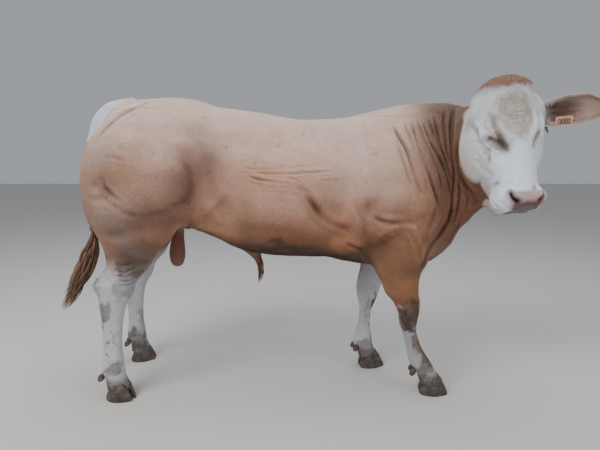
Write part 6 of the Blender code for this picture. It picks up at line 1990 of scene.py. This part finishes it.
def coat():
    total = 264000
    v_on = flow_at(body_p, body_n)[1]
    ln, dens, lift = regions(body_p, body_n, v_on)
    q = head_coords(body_p)
    bare = np.zeros(len(body_p))
    bare = np.maximum(bare, v_on * smooth(0.440, 0.456, q[:, 0]) * smooth(-0.125, -0.095, q[:, 2]))
    bare = np.maximum(bare, np.clip(pit * 1.6, 0, 1) * v_on)
    bare = np.maximum(bare, slit)
    f = part_field(named_part(parts, "scrotum"), body_p)
    bare = np.maximum(bare, smooth(0.012, 0.004, f) * 0.9)
    # none where the tag hangs, or it would poke through the plate
    bare = np.maximum(bare, smooth(0.058, 0.048, np.linalg.norm(body_p - np.array(TAG_AT), axis=1)))
    for s in (-1, 1):
        c = eye_frame(s)[0]
        bare = np.maximum(bare, smooth(EYE_R * 1.45, EYE_R * 1.15, np.linalg.norm(body_p - c, axis=1)) * (1.0 if s > 0 else 0.0))
    dens = dens * (1 - np.clip(bare, 0, 1))
    tri, w = sample_surface(body_p, body_tris, dens, total)
    root = blend3(body_p, tri, w)
    nor = blend3(body_n, tri, w)
    nor /= np.linalg.norm(nor, axis=1)[:, None]
    col = blend3(body_col, tri, w)
    L, A = blend3(ln[:, None], tri, w)[:, 0], blend3(lift[:, None], tri, w)[:, 0]
    keep = blend3(bare[:, None], tri, w)[:, 0] < 0.5
    root, nor, col, L, A = root[keep], nor[keep], col[keep], L[keep], A[keep]
    k = len(root)
    fl, on = flow_at(root, nor)
    side = np.cross(nor, fl)
    turn = (RNG.standard_normal(k) * 0.16)[:, None]
    fl = fl * np.cos(turn) + side * np.sin(turn)
    L = L * RNG.uniform(0.75, 1.25, k)
    A = A * RNG.uniform(0.6, 1.4, k)
    W = L * np.where(on & (head_coords(root)[:, 0] < 0.15), RNG.uniform(0.045, 0.075, k), RNG.uniform(0.032, 0.055, k))
    uv = atlas(root, nor, on)
    pr = real(root)
    curl_zone = on & (head_coords(root)[:, 0] < 0.15)
    low_legs = root[:, 2] < 0.52
    groups = [
        ("coat_poll", curl_zone, "coat_white", True),
        ("coat_face", on & ~curl_zone, "coat_white", False),
        ("coat_legs_hind", low_legs & ~on & (root[:, 0] < 0), "coat_grey", False),
        ("coat_legs_fore", low_legs & ~on & (root[:, 0] >= 0), "coat_grey", False),
    ]
    rest = ~on & ~low_legs
    cuts = (-0.74, -0.42, 0.0, 0.42)
    bounds = [-9.0, *cuts, 9.0]
    for i in range(5):
        groups.append(("coat_body_%d" % (i + 1), rest & (root[:, 0] >= bounds[i]) & (root[:, 0] < bounds[i + 1]), "coat_tan", False))
    for name, m, slot, curly in groups:
        if not m.any():
            continue
        cu = RNG.uniform(-1, 1, m.sum()) if curly else None
        make_tufts(name, COAT, pr[m], nor[m], fl[m], L[m], W[m], A[m], col[m], uv[m], cu)


def ear_coat():
    """Fine hair on the ears' backs, and longer hair inside and along their edges."""
    for ep, et, en, (u, v, front, back, e, n_, s_, col), left in ears:
        o = len(front)
        u2, v2 = np.concatenate([u, u]), np.concatenate([v, v])
        inner = np.arange(2 * o) < o
        dens = np.where(inner, 0.35 + 2.2 * smooth(0.35, 0.05, u2) + 2.0 * smooth(0.55, 0.95, np.abs(v2)), 1.3)
        if left:
            dens = dens * smooth(0.030, 0.050, np.linalg.norm(ep - np.array(TAG_AT), axis=1))
        tri, w = sample_surface(ep, et, dens, 6500)
        root, nor, c = blend3(ep, tri, w), blend3(en, tri, w), blend3(col, tri, w)
        nor /= np.maximum(np.linalg.norm(nor, axis=1), 1e-6)[:, None]
        uu, vv = blend3(u2[:, None], tri, w)[:, 0], blend3(v2[:, None], tri, w)[:, 0]
        ins = blend3(inner[:, None].astype(float), tri, w)[:, 0] > 0.5
        k = len(root)
        out = s_[None] * np.sign(vv)[:, None]
        fl = e[None] * np.where(ins, 0.65, 1.0)[:, None] + out * (np.abs(vv) ** 2 * np.where(ins, 0.9, 0.35))[:, None] + n_[None] * (ins * 0.25 * (1 - np.abs(vv)))[:, None]
        fl += RNG.standard_normal((k, 3)) * 0.12
        fl -= (fl * nor).sum(1)[:, None] * nor
        fl /= np.linalg.norm(fl, axis=1)[:, None]
        L = np.where(ins, 0.008 + 0.012 * smooth(0.4, 0.05, uu) + 0.004 * smooth(0.6, 0.95, np.abs(vv)), 0.008) * RNG.uniform(0.7, 1.2, k)
        A = np.radians(np.where(ins, 9, 4)) * RNG.uniform(0.5, 1.4, k)
        pale = ins & (RNG.random(k) < 0.45)
        c = np.where(pale[:, None], c * 0.45 + srgb(196, 170, 152)[None] * 0.55, c)
        uv = atlas(root, nor, np.ones(k, bool))
        make_tufts("coat_ear_left" if left else "coat_ear_right", COAT, real(root), nor, fl, L, L * 0.045, A, c, uv, RNG.uniform(-0.6, 0.6, k))


coat()
ear_coat()


# ------------------------------------------------------------------ floor, light, camera
def studio():
    bpy.ops.mesh.primitive_plane_add(size=40, location=(0, 0, 0))
    floor = bpy.context.object
    floor.name = "floor"
    m, nt, b = new_material("floor_pale")
    b.inputs["Base Color"].default_value = (0.62, 0.61, 0.59, 1)
    b.inputs["Roughness"].default_value = 0.95
    floor.data.materials.append(m)
    w = bpy.data.worlds.new("studio")
    bpy.context.scene.world = w
    w.use_nodes = True
    w.node_tree.nodes["Background"].inputs["Color"].default_value = (0.86, 0.90, 0.95, 1)
    w.node_tree.nodes["Background"].inputs["Strength"].default_value = 0.42
    for name, place, aim, size, power, tint in (
        ("key", (-2.0, -2.2, 3.6), (0, 0, 0.7), 2.2, 130, (1.0, 0.99, 0.97)),
        ("top", (0.2, 0.6, 4.2), (0, 0, 0.6), 3.4, 70, (0.95, 0.98, 1.0)),
        ("fill", (2.8, -2.2, 1.8), (0.2, 0, 0.8), 2.4, 24, (1.0, 0.98, 0.95)),
    ):
        d = bpy.data.lights.new(name, "AREA")
        d.energy, d.size, d.color = power, size, tint
        o = bpy.data.objects.new(name, d)
        bpy.context.scene.collection.objects.link(o)
        o.location = place
        v = Vector(aim) - Vector(place)
        o.rotation_euler = v.to_track_quat("-Z", "Y").to_euler()
    cam = bpy.data.cameras.new("camera")
    cam.sensor_width = 36.0
    cam.lens = FOCAL / 600 * 36.0
    co = bpy.data.objects.new("camera", cam)
    bpy.context.scene.collection.objects.link(co)
    co.location = real(EYE)
    co.rotation_euler = (math.radians(90) - PITCH, 0, 0)
    bpy.context.scene.camera = co


studio()
bpy.context.view_layer.update()
